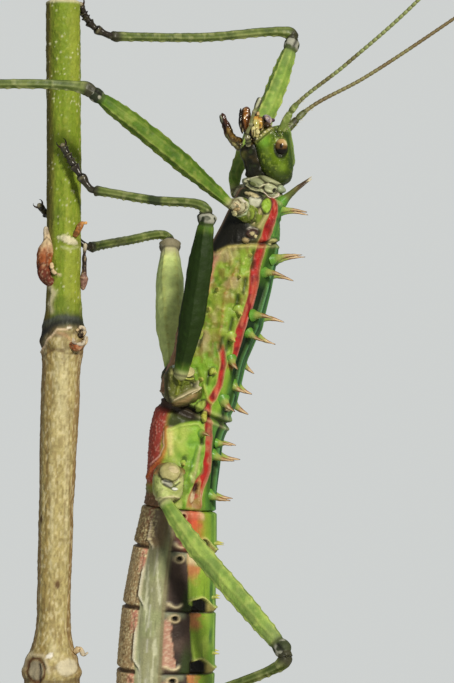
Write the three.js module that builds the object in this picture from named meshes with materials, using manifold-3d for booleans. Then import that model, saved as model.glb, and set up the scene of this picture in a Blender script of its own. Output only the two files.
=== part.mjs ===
// A spiny stick insect, head up on a short cut stem that a round display stand holds.
// Millimetres, +Z up. The origin is the centre of the underside of the base. The insect's back
// faces +X and its left side faces -Y. Each sub-part is one named closed mesh.

import * as THREE from 'three';
import { mergeVertices } from 'three/addons/utils/BufferGeometryUtils.js';
import Module from 'manifold-3d';

const wasm = await Module();
wasm.setup();

// ---------------------------------------------------------------- driving dimensions

const GAP = 0.3; // clear space kept between pieces that touch
const FINE_GAP = 0.15; // the same, between the small pieces of the head

const BASE = { radius: 46, height: 8, edge: 1.8, bevel: 0.8, facets: 40 };
const SOCKET = { flange: 5.6, flangeHeight: 1.2, outer: 3.6, wall: 0.8, floor: 1.6, height: 9, facets: 20 };

// The stem: its middle line as [x, z], its radius by height, and the swellings of its nodes.
const STEM_LINE = [
  [-12, 10.6], [-12, 35], [-11.8, 57], [-11, 83.5], [-10.6, 92], [-10.5, 113.6], [-10.6, 131.8],
];
const STEM_RADIUS = [[10, 2.4], [46, 2.35], [57, 2.15], [70, 2.2], [84, 2.4], [97, 2.12], [132, 2.2]];
const STEM_NODES = [{ z: 50.5, swell: 1.3, reach: 3.2 }, { z: 91.4, swell: 0.6, reach: 2.6 }];
const BUDS = [
  { at: [-12.5, -0.5, 97.6], tip: [-13.1, -0.7, 104.4], radius: 0.95 },
  { at: [-8.6, -0.3, 102.8], tip: [-7.7, -0.4, 105.0], radius: 0.5 },
  { at: [-8.2, 0.2, 96.9], tip: [-7.7, 0.2, 102.6], radius: 0.45 },
  { at: [-8.9, -0.3, 49.0], tip: [-8.0, -0.4, 52.8], radius: 0.8 },
];

// The trunk: its middle line as [x, z] from neck to tail, and each ring's size along it.
const TRUNK_LINE = [
  [14.1, 108.4], [11.9, 102.8], [9.2, 94.9], [7.6, 88.9], [5.9, 83.3], [4.6, 80.0], [4.0, 75.1], [3.6, 70.8],
  [2.3, 58.8], [1.6, 44.1], [1, 30.7], [1.3, 22], [2.5, 15.8],
];
const TRUNK_PARTS = [
  { name: 'prothorax', length: 6.0, rings: 4 },
  { name: 'mesothorax', length: 21.3, rings: 7 },
  { name: 'metathorax', length: 12.0, rings: 5 },
  { name: 'abdomen_2', length: 5.0, rings: 2 },
  { name: 'abdomen_3', length: 7.1, rings: 2 },
  { name: 'abdomen_4', length: 7.4, rings: 2 },
  { name: 'abdomen_5', length: 7.3, rings: 2 },
  { name: 'abdomen_6', length: 7.0, rings: 2 },
  { name: 'abdomen_7', length: 6.4, rings: 2 },
  { name: 'abdomen_8', length: 4.8, rings: 2 },
  { name: 'abdomen_9', length: 3.8, rings: 2 },
  { name: 'abdomen_10', length: 5.8, rings: 4 },
];
const HALF_DEPTH = [
  [0, 3.0], [1, 3.4], [5.5, 3.7], [11, 4.5], [16, 4.9], [21, 4.6], [25.5, 4.8], [28, 4.4], [38, 4.15],
  [43.5, 4.8], [51.4, 5.5], [58.5, 5.75], [66, 5.7], [73, 5.2], [79.5, 4.3], [84.3, 3.3], [88, 2.4],
  [91.5, 1.6], [93.9, 0.7],
];
const HALF_WIDTH = [
  [0, 2.5], [1.5, 3.1], [5.5, 3.3], [11, 3.7], [16, 4.0], [23, 4.5], [27, 4.3], [32, 4.5], [38, 4.3],
  [43, 4.5], [51, 4.9], [59, 5.2], [69, 5.1], [75, 4.4], [84, 3.0], [89, 1.8], [93.9, 0.6],
];
const BACK_TAPER = [[0, 0.1], [11, 0.22], [39, 0.26], [59, 0.22], [79, 0.16], [93.9, 0]];
const ROLL = [[0, -2], [7, -8], [15, -17], [25, -12], [33, -7], [41, 0], [93, 2]]; // degrees, back towards -Y
const TRUNK_SIDES = 14;
const TRUNK_SQUARE = 0.82; // power of the ring's sine and cosine: 1 is an ellipse, less is boxier

// Spines on both sides: distance along the trunk, angle from the back, length, radius, lean forward.
const SPINES = [
  { part: 'prothorax', at: 0.15, angle: 17, length: 4.7, radius: 0.5, lean: 1.6 },
  { part: 'prothorax', at: 1.4, angle: 19, length: 3.5, radius: 0.5, lean: 0.36 },
  { part: 'mesothorax', at: 7.2, angle: 15, length: 3.6, radius: 0.5, lean: 0.5 },
  { part: 'mesothorax', at: 9, angle: 25, length: 3.4, radius: 0.5, lean: 0.2 },
  { part: 'mesothorax', at: 14.5, angle: 27, length: 2.5, radius: 0.45, lean: 0.1 },
  { part: 'mesothorax', at: 16.9, angle: 27, length: 2, radius: 0.4, lean: -0.2 },
  { part: 'mesothorax', at: 23.1, angle: 20, length: 1.1, radius: 0.35, lean: -0.2 },
  { part: 'mesothorax', at: 25.1, angle: 27, length: 2.7, radius: 0.65, lean: -0.18 },
  { part: 'metathorax', at: 30.9, angle: 18, length: 1.8, radius: 0.4, lean: 0 },
  { part: 'metathorax', at: 32.6, angle: 27, length: 2.8, radius: 0.5, lean: -0.14 },
  { part: 'metathorax', at: 37.4, angle: 27, length: 2.6, radius: 0.5, lean: -0.14 },
  { part: 'abdomen_2', at: 43, angle: 16, length: 1.3, radius: 0.3, lean: 0 },
  { part: 'abdomen_3', at: 49.5, angle: 18, length: 1, radius: 0.3, lean: 0 },
  { part: 'abdomen_4', at: 56.4, angle: 18, length: 1, radius: 0.3, lean: 0 },
  { part: 'abdomen_5', at: 63.6, angle: 18, length: 0.9, radius: 0.3, lean: 0 },
  { part: 'abdomen_6', at: 70.6, angle: 18, length: 0.8, radius: 0.3, lean: 0 },
  { part: 'mesothorax', at: 7.8, angle: 75, length: 0.7, radius: 0.35, lean: 0.2 },
  { part: 'mesothorax', at: 12.9, angle: 94, length: 0.9, radius: 0.4, lean: 0.2 },
  { part: 'mesothorax', at: 15.4, angle: 97, length: 0.9, radius: 0.4, lean: 0.2 },
  { part: 'mesothorax', at: 18.3, angle: 99, length: 1, radius: 0.4, lean: 0.3 },
  { part: 'mesothorax', at: 20.4, angle: 103, length: 1.1, radius: 0.4, lean: 0.8 },
  { part: 'mesothorax', at: 14.5, angle: 55, length: 0.8, radius: 0.35, lean: 0.1 },
  { part: 'mesothorax', at: 17.8, angle: 58, length: 0.9, radius: 0.35, lean: 0 },
  { part: 'mesothorax', at: 20.2, angle: 52, length: 1.9, radius: 0.45, lean: -0.45 },
  { part: 'mesothorax', at: 22.3, angle: 63, length: 0.9, radius: 0.35, lean: -0.1 },
  { part: 'metathorax', at: 30.3, angle: 62, length: 1.3, radius: 0.4, lean: 0.5 },
  { part: 'metathorax', at: 33.8, angle: 86, length: 0.8, radius: 0.35, lean: 0.1 },
];

// The head: its middle line as [x, z] from the neck to the face, and its ring sizes along it.
const HEAD_LINE = [[16.1, 109.4], [15.6, 113.0], [14.6, 117.0]];
const HEAD_DEPTH = [[0, 0.7], [0.12, 1.55], [0.3, 2.05], [0.55, 2.35], [0.75, 2.2], [0.9, 1.6], [1, 0.7]];
const HEAD_WIDTH = [[0, 0.9], [0.12, 1.8], [0.35, 2.25], [0.65, 2.3], [0.85, 1.8], [1, 0.8]];
const NECK = { from: [15.1, 110.3], to: [13.9, 107.4], halfDepth: 2.5, halfWidth: 2.2 };
const EYE = { x: 15.75, y: 2.05, z: 113.8, length: 1.1, breadth: 0.75, depth: 0.62, lean: 8 };

// The mouthparts: small rounded pieces [x, y, z] with radii [along X, Y, Z], joined to one.
const MOUTHPARTS = [
  { at: [11.7, 0, 113.0], size: [1.3, 1.35, 2.0] },
  { at: [12.6, 0, 115.6], size: [1.5, 1.5, 1.2] },
  { at: [13.2, -0.8, 116.9], size: [0.8, 0.7, 1.1] },
  { at: [13.2, 0.8, 116.9], size: [0.8, 0.7, 1.1] },
  { at: [14.2, 0, 117.4], size: [0.8, 1.0, 0.75] },
  { at: [11.9, 0.9, 117.2], size: [0.6, 0.55, 1.1] },
  { at: [11.4, -0.2, 115.4], size: [0.9, 1.2, 0.8] },
];
const PALPS = {
  left: [[12.0, -0.9, 114.2], [12.0, -2.3, 115.8], [12.4, -2.8, 117.6], [13.1, -3, 119.2], [13.6, -3, 119.9]],
  right: [[11.3, 0.7, 113.8], [10.0, 2.0, 114.9], [9.3, 2.6, 116.0], [8.8, 2.9, 117.3], [8.6, 3.0, 118.2]],
};
const PALP_RADIUS = 0.3;

// The antennae: points along each, and the radius of the scape and of the lash.
const ANTENNAE = {
  left: [[15.9, -1.2, 116.3], [17.4, -1.8, 118.7], [23.4, -2.4, 123.6], [32.1, -3, 131.3], [46.6, -4, 147.6]],
  right: [[16.6, 1.2, 116.4], [19.2, 2.5, 118.8], [26.1, 5, 122.8], [37.5, 11, 130.7], [52.4, 18, 141.6]],
};
const ANTENNA_RADIUS = [
  [0, 0.42], [0.02, 0.58], [0.065, 0.5], [0.075, 0.36], [0.1, 0.34], [0.12, 0.26], [1, 0.25],
];

// The legs: where the coxa leaves the trunk and ends, then the points of each length in turn.
const LEGS = {
  fore_left: {
    coxa: [[13.2, -1.6, 105.0], [10.6, -4.3, 106.4]],
    femur: [[9.5, -4.8, 107.0], [3.6, -7.4, 112.2], [-1.6, -9.4, 116.4], [-6.2, -11, 119.6]],
    tibia: [[-6.6, -11, 120.0], [-19.3, -12.4, 120.4], [-30.2, -12, 119.5]],
    tarsus: [[-30.5, -12, 119.4], [-33.4, -12.1, 118.6], [-36.3, -12, 116.6]],
    thick: { coxa: 1.75, base: 0.6, femur: 1.28, knee: 0.95, tibia: 0.52 },
  },
  fore_right: {
    coxa: [[12.9, 1.8, 105.8], [11.0, 4.3, 108.4]],
    femur: [[10.4, 4.9, 108.9], [10.9, 6.4, 112.4], [14.3, 10, 119.3], [17.7, 15, 128.6]],
    tibia: [[17.3, 15.1, 129.2], [5.9, 8.6, 128.1], [-4.9, 2.7, 127.6]],
    tarsus: [[-5.2, 2.5, 127.7], [-6.5, 2.1, 128.6], [-7.4, 1.7, 130.0], [-7.8, 1.2, 131.2]],
    thick: { coxa: 1.75, base: 0.6, femur: 1.2, knee: 0.95, tibia: 0.52 },
  },
  mid_left: {
    coxa: [[5.2, -2.6, 84.2], [3.5, -5.9, 85.7]],
    femur: [[3.8, -6.4, 86.8], [5.0, -6.9, 92.5], [6.3, -7.3, 100.0], [7.3, -7.6, 105.9]],
    tibia: [[6.8, -7.7, 106.5], [0.5, -5.6, 107.3], [-6.6, -3.5, 108.6]],
    tarsus: [[-6.9, -3.4, 108.7], [-8.3, -3.2, 110.5], [-9.5, -3.0, 112.4], [-10.3, -2.9, 113.9]],
    thick: { coxa: 2.1, base: 0.95, femur: 1.45, knee: 1.05, tibia: 0.5 },
  },
  mid_right: {
    coxa: [[5.3, 2.6, 84.2], [3.0, 5.9, 85.8]],
    femur: [[2.5, 6.5, 86.9], [2.2, 10.4, 94.0], [2.1, 15.3, 103.2]],
    tibia: [[1.6, 15.6, 103.8], [-3.4, 9.4, 103.0], [-7.5, 3.7, 102.0]],
    tarsus: [[-7.8, 3.5, 102.1], [-9.8, 3.3, 103.6], [-12.2, 2.9, 105.6], [-13.4, 1.7, 107.0]],
    thick: { coxa: 2.1, base: 0.95, femur: 1.55, knee: 1.1, tibia: 0.5 },
  },
  hind_left: {
    coxa: [[3.3, -2.6, 74.6], [1.7, -6.0, 73.5]],
    femur: [[2.0, -6.5, 71.6], [5.6, -9.2, 67.2], [11.4, -13.4, 60.8], [16.0, -17, 55.4]],
    tibia: [[15.7, -17.1, 54.8], [6.0, -11.2, 48.9], [-3.5, -5.2, 43.0]],
    tarsus: [[-3.8, -5.0, 42.8], [-6.3, -4.1, 41.2], [-9.5, -3.1, 39.4]],
    thick: { coxa: 2.2, base: 0.8, femur: 1.4, knee: 1.1, tibia: 0.52 },
  },
  hind_right: {
    coxa: [[3.3, 2.6, 74.4], [1.7, 6.0, 73.2]],
    femur: [[1.8, 6.6, 71.2], [2.6, 9.4, 63.4], [4.4, 14.9, 47.4]],
    tibia: [[4.2, 15.0, 46.6], [-2.0, 9.2, 39.2], [-7.9, 3.7, 32.0]],
    tarsus: [[-8.2, 3.5, 31.7], [-10.3, 3.2, 29.3], [-12.7, 3.0, 27.3]],
    thick: { coxa: 2.2, base: 0.8, femur: 1.4, knee: 1.1, tibia: 0.52 },
  },
};
const FEMUR_TEETH = { count: 5, length: 0.5, radius: 0.3 };
// The five joints of the tarsus bulge a little at their ends.
const TARSUS_RADIUS = [
  [0, 0.42], [0.3, 0.38], [0.42, 0.5], [0.5, 0.36], [0.62, 0.48], [0.72, 0.34], [0.9, 0.4], [1, 0.42],
];
const CLAW = { length: 0.9, radius: 0.16, spread: 0.42 };

const COLOURS = {
  wood: 0x6b4a2f,
  brass: 0xa8874a,
  bark: 0xa9966a,
  green: 0x7fa03c,
  lightGreen: 0x9cbb5a,
  darkGreen: 0x4c6a22,
  belly: 0x9a9a78,
  eye: 0x8a6a3a,
  mouth: 0x8a6a34,
  horn: 0x6f7a3e,
  grey: 0x8a9478,
  dark: 0x2b2a22,
};

// ---------------------------------------------------------------- ways of making shapes

/** A function that reads between the [place, value] stops of a list. */
function along(stops) {
  return (place) => {
    const last = stops.length - 1;
    const next = stops.findIndex((stop) => stop[0] > place);
    if (next === 0) return stops[0][1];
    if (next < 0) return stops[last][1];
    const [x0, y0] = stops[next - 1];
    const [x1, y1] = stops[next];
    const blend = (place - x0) / (x1 - x0);
    return y0 + (y1 - y0) * blend;
  };
}

/** A curve through points given as [x, y, z], or as [x, z] in the plane y = 0. */
function lineThrough(points) {
  const vectors = points.map((point) => {
    const [x, y, z] = point.length === 3 ? point : [point[0], 0, point[1]];
    return new THREE.Vector3(x, y, z);
  });
  return new THREE.CatmullRomCurve3(vectors, false, 'centripetal');
}

/** Where a line is at t, which way it runs, and the two directions across it. */
function frameAt(line, t, towards) {
  const inside = THREE.MathUtils.clamp(t, 0, 1);
  const run = line.getTangentAt(inside);
  const point = line.getPointAt(inside).addScaledVector(run, (t - inside) * line.getLength());
  const side = new THREE.Vector3().crossVectors(run, towards).normalize();
  const up = new THREE.Vector3().crossVectors(side, run);
  return { point, run, side, up };
}

/** A closed skin: place(t, cosine, sine) puts each point of the rings and of the end caps' middles. */
function skin(sides, steps, place) {
  const geometry = new THREE.CylinderGeometry(1, 1, 1, sides, steps);
  const position = geometry.attributes.position;
  for (let i = 0; i < position.count; i += 1) {
    const point = place(position.getY(i) + 0.5, position.getZ(i), position.getX(i));
    position.setXYZ(i, point.x, point.y, point.z);
  }
  return geometry;
}

/** A sine or cosine pushed outwards, which makes a round ring boxier. */
function squared(value, power) {
  return Math.sign(value) * Math.abs(value) ** power;
}

/** The solid of a closed geometry. */
function solidOf(geometry) {
  const bare = geometry.clone();
  bare.deleteAttribute('normal');
  bare.deleteAttribute('uv');
  const merged = mergeVertices(bare, 1e-5);
  const mesh = new wasm.Mesh({
    numProp: 3,
    vertProperties: merged.attributes.position.array,
    triVerts: new Uint32Array(merged.index.array),
  });
  return new wasm.Manifold(mesh);
}

/** The geometry of a solid. */
function geometryOf(solid) {
  const mesh = solid.getMesh();
  const geometry = new THREE.BufferGeometry();
  geometry.setAttribute('position', new THREE.BufferAttribute(mesh.vertProperties, 3));
  geometry.setIndex(new THREE.BufferAttribute(mesh.triVerts, 1));
  geometry.computeVertexNormals();
  return geometry;
}

/** One solid from several that run into each other. */
function joined(solids) {
  return solids.reduce((whole, solid) => whole.add(solid));
}

/** A solid less its neighbours, keeping the biggest piece that is left. */
function carved(solid, neighbours) {
  const rest = neighbours.reduce((left, neighbour) => left.subtract(neighbour), solid);
  return rest.decompose().sort((a, b) => b.volume() - a.volume())[0];
}

/** A tapered limb along points, with half sizes across it that size(t) gives as [side, up]. */
function limb(points, size, options = {}) {
  const { sides = 8, steps = 8, grow = 0, towards = [0, 0.3, 1], blunt = 0.6, tip = 0.03 } = options;
  const line = points.getPointAt ? points : lineThrough(points);
  const up = new THREE.Vector3(...towards);
  const extra = grow / line.getLength();
  return solidOf(skin(sides, steps, (u, cosine, sine) => {
    const end = Math.min(u, 1 - u) < 1e-6;
    const second = Math.min(u, 1 - u) * steps < 1.5;
    const t = end ? u * (1 + 2 * extra) - extra : second ? (u < 0.5 ? tip : 1 - tip) : u;
    const { point, side, up: over } = frameAt(line, t, up);
    const [half, high] = size(THREE.MathUtils.clamp(t, 0, 1));
    const scale = end ? blunt : 1;
    point.addScaledVector(side, sine * (half * scale + grow));
    return point.addScaledVector(over, cosine * (high * scale + grow));
  }));
}

/** A pointed spine from a point, along a direction, sunk a little into what carries it. */
function spike(point, direction, length, radius, sides = 5) {
  const sink = radius * 1.2;
  const cone = new THREE.ConeGeometry(radius, length + sink, sides);
  cone.translate(0, (length - sink) / 2, 0);
  const heading = direction.clone().normalize();
  cone.applyQuaternion(new THREE.Quaternion().setFromUnitVectors(new THREE.Vector3(0, 1, 0), heading));
  cone.translate(point.x, point.y, point.z);
  return solidOf(cone);
}

/** A rounded lump with its own radius along each axis. */
function lump(centre, radii, { grow = 0, lean = 0, round = 10 } = {}) {
  const ball = new THREE.SphereGeometry(1, round, Math.round(round * 0.7));
  ball.scale(...radii.map((radius) => radius + grow));
  ball.rotateY(THREE.MathUtils.degToRad(-lean));
  ball.translate(...centre);
  return solidOf(ball);
}

// ---------------------------------------------------------------- the stand and the stem

/** The round base, flat underneath, with a soft upper edge. */
function makeBase() {
  const { radius, height, edge, bevel, facets } = BASE;
  const profile = [
    [0, 0], [radius - bevel, 0], [radius, bevel], [radius, height - edge],
    [radius - edge * 0.3, height - edge * 0.3], [radius - edge, height], [0, height],
  ];
  return turned(profile, facets, 0);
}

/** A turned shape about an upright axis at x, from a profile of [radius, z]. */
function turned(profile, facets, x) {
  const shape = new THREE.LatheGeometry(profile.map(([r, z]) => new THREE.Vector2(r, z)), facets);
  shape.rotateX(Math.PI / 2);
  shape.translate(x, 0, 0);
  return solidOf(shape);
}

/** The socket that holds the lower end of the stem. */
function makeSocket() {
  const { flange, flangeHeight, outer, wall, floor, height, facets } = SOCKET;
  const foot = BASE.height + GAP;
  const profile = [
    [0, foot], [flange, foot], [flange, foot + flangeHeight * 0.6], [outer + 0.4, foot + flangeHeight],
    [outer, foot + flangeHeight + 0.8], [outer, foot + height], [outer - wall, foot + height],
    [outer - wall, foot + floor], [0, foot + floor],
  ];
  return turned(profile, facets, STEM_LINE[0][0]);
}

const stemLine = lineThrough(STEM_LINE);
const stemRadius = along(STEM_RADIUS);

/** The radius of the stem at a height, with the swelling of its nodes. */
function stemRadiusAt(z) {
  const swellOf = (node) => node.swell * Math.exp(-(((z - node.z) / node.reach) ** 2));
  return STEM_NODES.reduce((radius, node) => radius + swellOf(node), stemRadius(z));
}

/** The stem with its buds, thickened all round by grow. */
function makeStem(grow = 0) {
  const shaft = solidOf(skin(12, 26, (t, cosine, sine) => {
    const { point, side, up } = frameAt(stemLine, t, new THREE.Vector3(1, 0, 0));
    const radius = stemRadiusAt(point.z) + grow;
    return point.addScaledVector(side, sine * radius).addScaledVector(up, cosine * radius);
  }));
  const buds = BUDS.map(({ at, tip, radius }) => {
    const from = new THREE.Vector3(...at);
    const direction = new THREE.Vector3(...tip).sub(from);
    return spike(from, direction, direction.length(), radius + grow, 7);
  });
  return joined([shaft, ...buds]);
}

// ---------------------------------------------------------------- the trunk

const trunkLine = lineThrough(TRUNK_LINE);
const trunkLength = TRUNK_PARTS.reduce((sum, part) => sum + part.length, 0);
const halfDepth = along(HALF_DEPTH);
const halfWidth = along(HALF_WIDTH);
const backTaper = along(BACK_TAPER);
const roll = along(ROLL);

/** The frame of the trunk at a distance from its front, turned by its roll. */
function trunkFrame(distance) {
  const angle = THREE.MathUtils.degToRad(roll(distance));
  return frameAt(trunkLine, distance / trunkLength, new THREE.Vector3(Math.cos(angle), Math.sin(angle), 0));
}

/** A point of the trunk's skin, from the cosine and sine of its angle from the back. */
function trunkPoint(distance, cosine, sine, grow) {
  const { point, side, up } = trunkFrame(distance);
  const across = (halfWidth(distance) + grow) * (1 - backTaper(distance) * cosine);
  point.addScaledVector(side, squared(sine, TRUNK_SQUARE) * across);
  return point.addScaledVector(up, squared(cosine, TRUNK_SQUARE) * (halfDepth(distance) + grow));
}

/** One length of the trunk, grown all round and at both ends. */
function trunkLengthOf(from, to, rings, grow = 0) {
  return solidOf(skin(TRUNK_SIDES, rings, (t, cosine, sine) => {
    const distance = from - grow + (to - from + 2 * grow) * t;
    return trunkPoint(distance, cosine, sine, grow);
  }));
}

/** The spines of one part of the trunk, on both sides. */
function spinesOf(name) {
  const solids = [];
  for (const spine of SPINES.filter((one) => one.part === name)) {
    for (const hand of [1, -1]) {
      const angle = THREE.MathUtils.degToRad(spine.angle) * hand;
      const { run, side, up } = trunkFrame(spine.at);
      const foot = trunkPoint(spine.at, Math.cos(angle), Math.sin(angle), 0);
      const out = up.multiplyScalar(Math.cos(angle * 0.8)).addScaledVector(side, Math.sin(angle * 0.8));
      const direction = out.addScaledVector(run, -spine.lean).normalize();
      solids.push(spike(foot, direction, spine.length, spine.radius));
    }
  }
  return solids;
}

// ---------------------------------------------------------------- the head

const headLine = lineThrough(HEAD_LINE);
const headDepth = along(HEAD_DEPTH);
const headWidth = along(HEAD_WIDTH);
const BACKWARD = [1, 0, 0]; // the side of the head where its back is

/** The head's capsule, grown all round. */
function makeHead(grow = 0) {
  const size = (t) => [headWidth(t), headDepth(t)];
  return limb(headLine, size, { sides: 14, steps: 9, grow, towards: BACKWARD, tip: 0.06 });
}

/** One eye, on the left for -1 and on the right for 1. */
function makeEye(hand, grow = 0) {
  const { x, y, z, length, breadth, depth, lean } = EYE;
  return lump([x, y * hand, z], [breadth, depth, length], { grow, lean: -lean, round: 10 });
}

/** The soft neck between the head and the prothorax. */
function makeNeck() {
  const size = () => [NECK.halfWidth, NECK.halfDepth];
  return limb([NECK.from, NECK.to], size, { sides: 12, steps: 3, towards: BACKWARD, blunt: 0.9, tip: 0.3 });
}

/** The jaws, lips and palps as one piece. */
function makeMouth() {
  const lumps = MOUTHPARTS.map(({ at, size }) => lump(at, size, { round: 8 }));
  const palps = Object.values(PALPS).map((points) => {
    const size = (t) => [PALP_RADIUS * (1 - 0.1 * t), PALP_RADIUS * (1 - 0.1 * t)];
    return limb(points, size, { sides: 6, steps: 7 });
  });
  return joined([...lumps, ...palps]);
}

/** One antenna from its scape to the tip of the lash. */
function makeAntenna(points) {
  const radius = along(ANTENNA_RADIUS);
  const line = lineThrough(points);
  return solidOf(skin(6, 22, (u, cosine, sine) => {
    const t = u < 0.36 ? u / 3 : 0.12 + ((u - 0.36) / 0.64) * 0.88;
    const { point, side, up } = frameAt(line, t, new THREE.Vector3(0, 1, 0));
    return point.addScaledVector(side, sine * radius(t)).addScaledVector(up, cosine * radius(t));
  }));
}

// ---------------------------------------------------------------- the legs

/** The coxa with its trochanter, a short stout cone out of the trunk. */
function makeCoxa({ coxa, thick }, grow = 0) {
  const size = along([[0, thick.coxa], [0.6, thick.coxa * 0.95], [1, thick.coxa * 0.62]]);
  return limb(coxa, (t) => [size(t), size(t)], { sides: 9, steps: 4, grow, blunt: 0.75, tip: 0.2 });
}

/** The femur, deeper than it is wide, with small teeth along both edges. */
function makeFemur({ femur, thick }, grow = 0) {
  const { base, femur: middle, knee } = thick;
  const high = along([[0, base], [0.3, middle], [0.72, middle * 0.95], [0.9, knee], [1, knee]]);
  const shaft = limb(femur, (t) => [high(t) * 0.82, high(t)], { sides: 8, steps: 7, grow });
  if (grow > 0) return shaft;
  const line = lineThrough(femur);
  const teeth = [];
  for (let i = 0; i < FEMUR_TEETH.count; i += 1) {
    const t = 0.25 + (0.6 * i) / (FEMUR_TEETH.count - 1);
    const { point, run, up } = frameAt(line, t, new THREE.Vector3(0, 0.3, 1));
    const edge = i % 2 === 0 ? 1 : -1;
    const foot = point.addScaledVector(up, edge * high(t) * 0.9);
    const direction = up.multiplyScalar(edge).addScaledVector(run, 0.5);
    teeth.push(spike(foot, direction, FEMUR_TEETH.length, FEMUR_TEETH.radius, 4));
  }
  return joined([shaft, ...teeth]);
}

/** The tibia, a slim rod a little thicker at the knee and the ankle. */
function makeTibia({ tibia, thick }, grow = 0) {
  const rod = thick.tibia;
  const size = along([[0, rod * 1.4], [0.08, rod], [0.9, rod * 0.9], [1, rod * 1.05]]);
  return limb(tibia, (t) => [size(t), size(t)], { sides: 6, steps: 6, grow });
}

/** The tarsus of five joints, with its two claws. */
function makeTarsus({ tarsus }) {
  const size = along(TARSUS_RADIUS);
  const foot = limb(tarsus, (t) => [size(t), size(t)], { sides: 6, steps: 8 });
  const { point, run, side } = frameAt(lineThrough(tarsus), 0.95, new THREE.Vector3(0, 1, 0.2));
  const claws = [1, -1].map((hand) => {
    const direction = run.clone().addScaledVector(side, hand * CLAW.spread);
    return spike(point.clone().addScaledVector(side, hand * 0.15), direction, CLAW.length, CLAW.radius, 4);
  });
  return joined([foot, ...claws]);
}

// ---------------------------------------------------------------- the whole

const insect = new THREE.Group();

/** Adds one named piece of the model. */
function addPiece(name, solid, color, roughness = 0.55, metalness = 0) {
  const material = new THREE.MeshStandardMaterial({ color, roughness, metalness });
  const mesh = new THREE.Mesh(geometryOf(solid), material);
  mesh.name = name;
  insect.add(mesh);
}

addPiece('stand_base', makeBase(), COLOURS.wood, 0.45);
addPiece('stand_rod', makeSocket(), COLOURS.brass, 0.3, 0.9);
addPiece('perch_stem', makeStem(), COLOURS.bark, 0.85);

let front = 0;
for (const { name, length, rings } of TRUNK_PARTS) {
  const from = front + GAP / 2;
  const to = front + length - GAP / 2;
  const body = joined([trunkLengthOf(from, to, rings), ...spinesOf(name)]);
  addPiece(name, body, name.startsWith('abdomen') ? COLOURS.belly : COLOURS.green);
  front += length;
}

const prothoraxGrown = trunkLengthOf(0, TRUNK_PARTS[0].length, TRUNK_PARTS[0].rings, GAP);
const thoraxLength = TRUNK_PARTS.slice(0, 4).reduce((sum, part) => sum + part.length, 0);
const thoraxGrown = trunkLengthOf(0, thoraxLength, 16, GAP);
const eyesGrown = [makeEye(-1, FINE_GAP), makeEye(1, FINE_GAP)];
addPiece('head', carved(makeHead(), eyesGrown), COLOURS.darkGreen, 0.35);
addPiece('eye_left', makeEye(-1), COLOURS.eye, 0.2);
addPiece('eye_right', makeEye(1), COLOURS.eye, 0.2);
addPiece('neck', carved(makeNeck(), [makeHead(GAP), prothoraxGrown]), COLOURS.belly);
addPiece('mouthparts', carved(makeMouth(), [makeHead(FINE_GAP)]), COLOURS.mouth, 0.4);
for (const hand of ['left', 'right']) {
  addPiece(`antenna_${hand}`, carved(makeAntenna(ANTENNAE[hand]), [makeHead(FINE_GAP)]), COLOURS.horn);
}

for (const [name, leg] of Object.entries(LEGS)) {
  const coxa = carved(makeCoxa(leg), [thoraxGrown]);
  const femur = carved(makeFemur(leg), [makeCoxa(leg, GAP), thoraxGrown]);
  const tibia = carved(makeTibia(leg), [makeFemur(leg, GAP)]);
  const tarsus = carved(makeTarsus(leg), [makeTibia(leg, FINE_GAP), makeStem(FINE_GAP)]);
  addPiece(`coxa_${name}`, coxa, COLOURS.belly);
  addPiece(`femur_${name}`, femur, name === 'mid_left' ? COLOURS.darkGreen : COLOURS.lightGreen);
  addPiece(`tibia_${name}`, tibia, COLOURS.grey);
  addPiece(`tarsus_${name}`, tarsus, COLOURS.dark);
}

export default insect;
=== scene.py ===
"""A life-size spiny stick insect that climbs a cut stem, held by a round display stand.

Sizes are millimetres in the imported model's frame: +Z up, the insect head up, its back towards +X and its
left side towards -Y. Meshes are written in metres.
"""

import logging
import math
from dataclasses import dataclass, field
from enum import Enum
from typing import Callable, Sequence

import bmesh
import bpy
import numpy as np
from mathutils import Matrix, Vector


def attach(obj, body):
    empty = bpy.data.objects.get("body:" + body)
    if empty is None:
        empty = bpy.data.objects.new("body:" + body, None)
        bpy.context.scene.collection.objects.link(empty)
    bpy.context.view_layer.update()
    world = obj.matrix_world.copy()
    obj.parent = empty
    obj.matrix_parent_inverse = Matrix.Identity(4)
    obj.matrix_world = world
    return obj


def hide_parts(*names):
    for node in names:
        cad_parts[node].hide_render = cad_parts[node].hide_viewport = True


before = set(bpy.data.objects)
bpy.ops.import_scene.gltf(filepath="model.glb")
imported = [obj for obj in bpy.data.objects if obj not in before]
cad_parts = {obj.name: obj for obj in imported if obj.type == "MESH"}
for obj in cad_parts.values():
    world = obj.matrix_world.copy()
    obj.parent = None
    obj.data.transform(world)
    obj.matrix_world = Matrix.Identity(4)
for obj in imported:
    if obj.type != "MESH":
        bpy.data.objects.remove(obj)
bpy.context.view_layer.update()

MM = 0.001
LOG = logging.getLogger("stick_insect")
Array = np.ndarray
BMesh = bmesh.types.BMesh
Material = bpy.types.Material
Stops = Sequence[float]  # a place and a value in turn
Point = tuple[float, float, float]
Path = Sequence[Point]
Colour = int  # 0xRRGGBB, as on a screen


# ---- numbers over a surface


def read(stops: Stops, place: Array) -> Array:
    """Reads between stops, given as place and value in turn."""
    return np.interp(place, stops[::2], stops[1::2])


def even(*values: float) -> Stops:
    """Stops with values at even shares from 0 to 1."""
    return [number for i, value in enumerate(values) for number in (i / (len(values) - 1), value)]


def ease(low: float, high: float, value: Array) -> Array:
    """Goes smoothly from 0 at low to 1 at high."""
    part = np.clip((value - low) / (high - low), 0, 1)
    return part * part * (3 - 2 * part)


def hump(value: Array, width: float) -> Array:
    """A soft hump, 1 where value is 0 and near 0 past twice the width."""
    return np.exp(-((value / width) ** 2))


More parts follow.
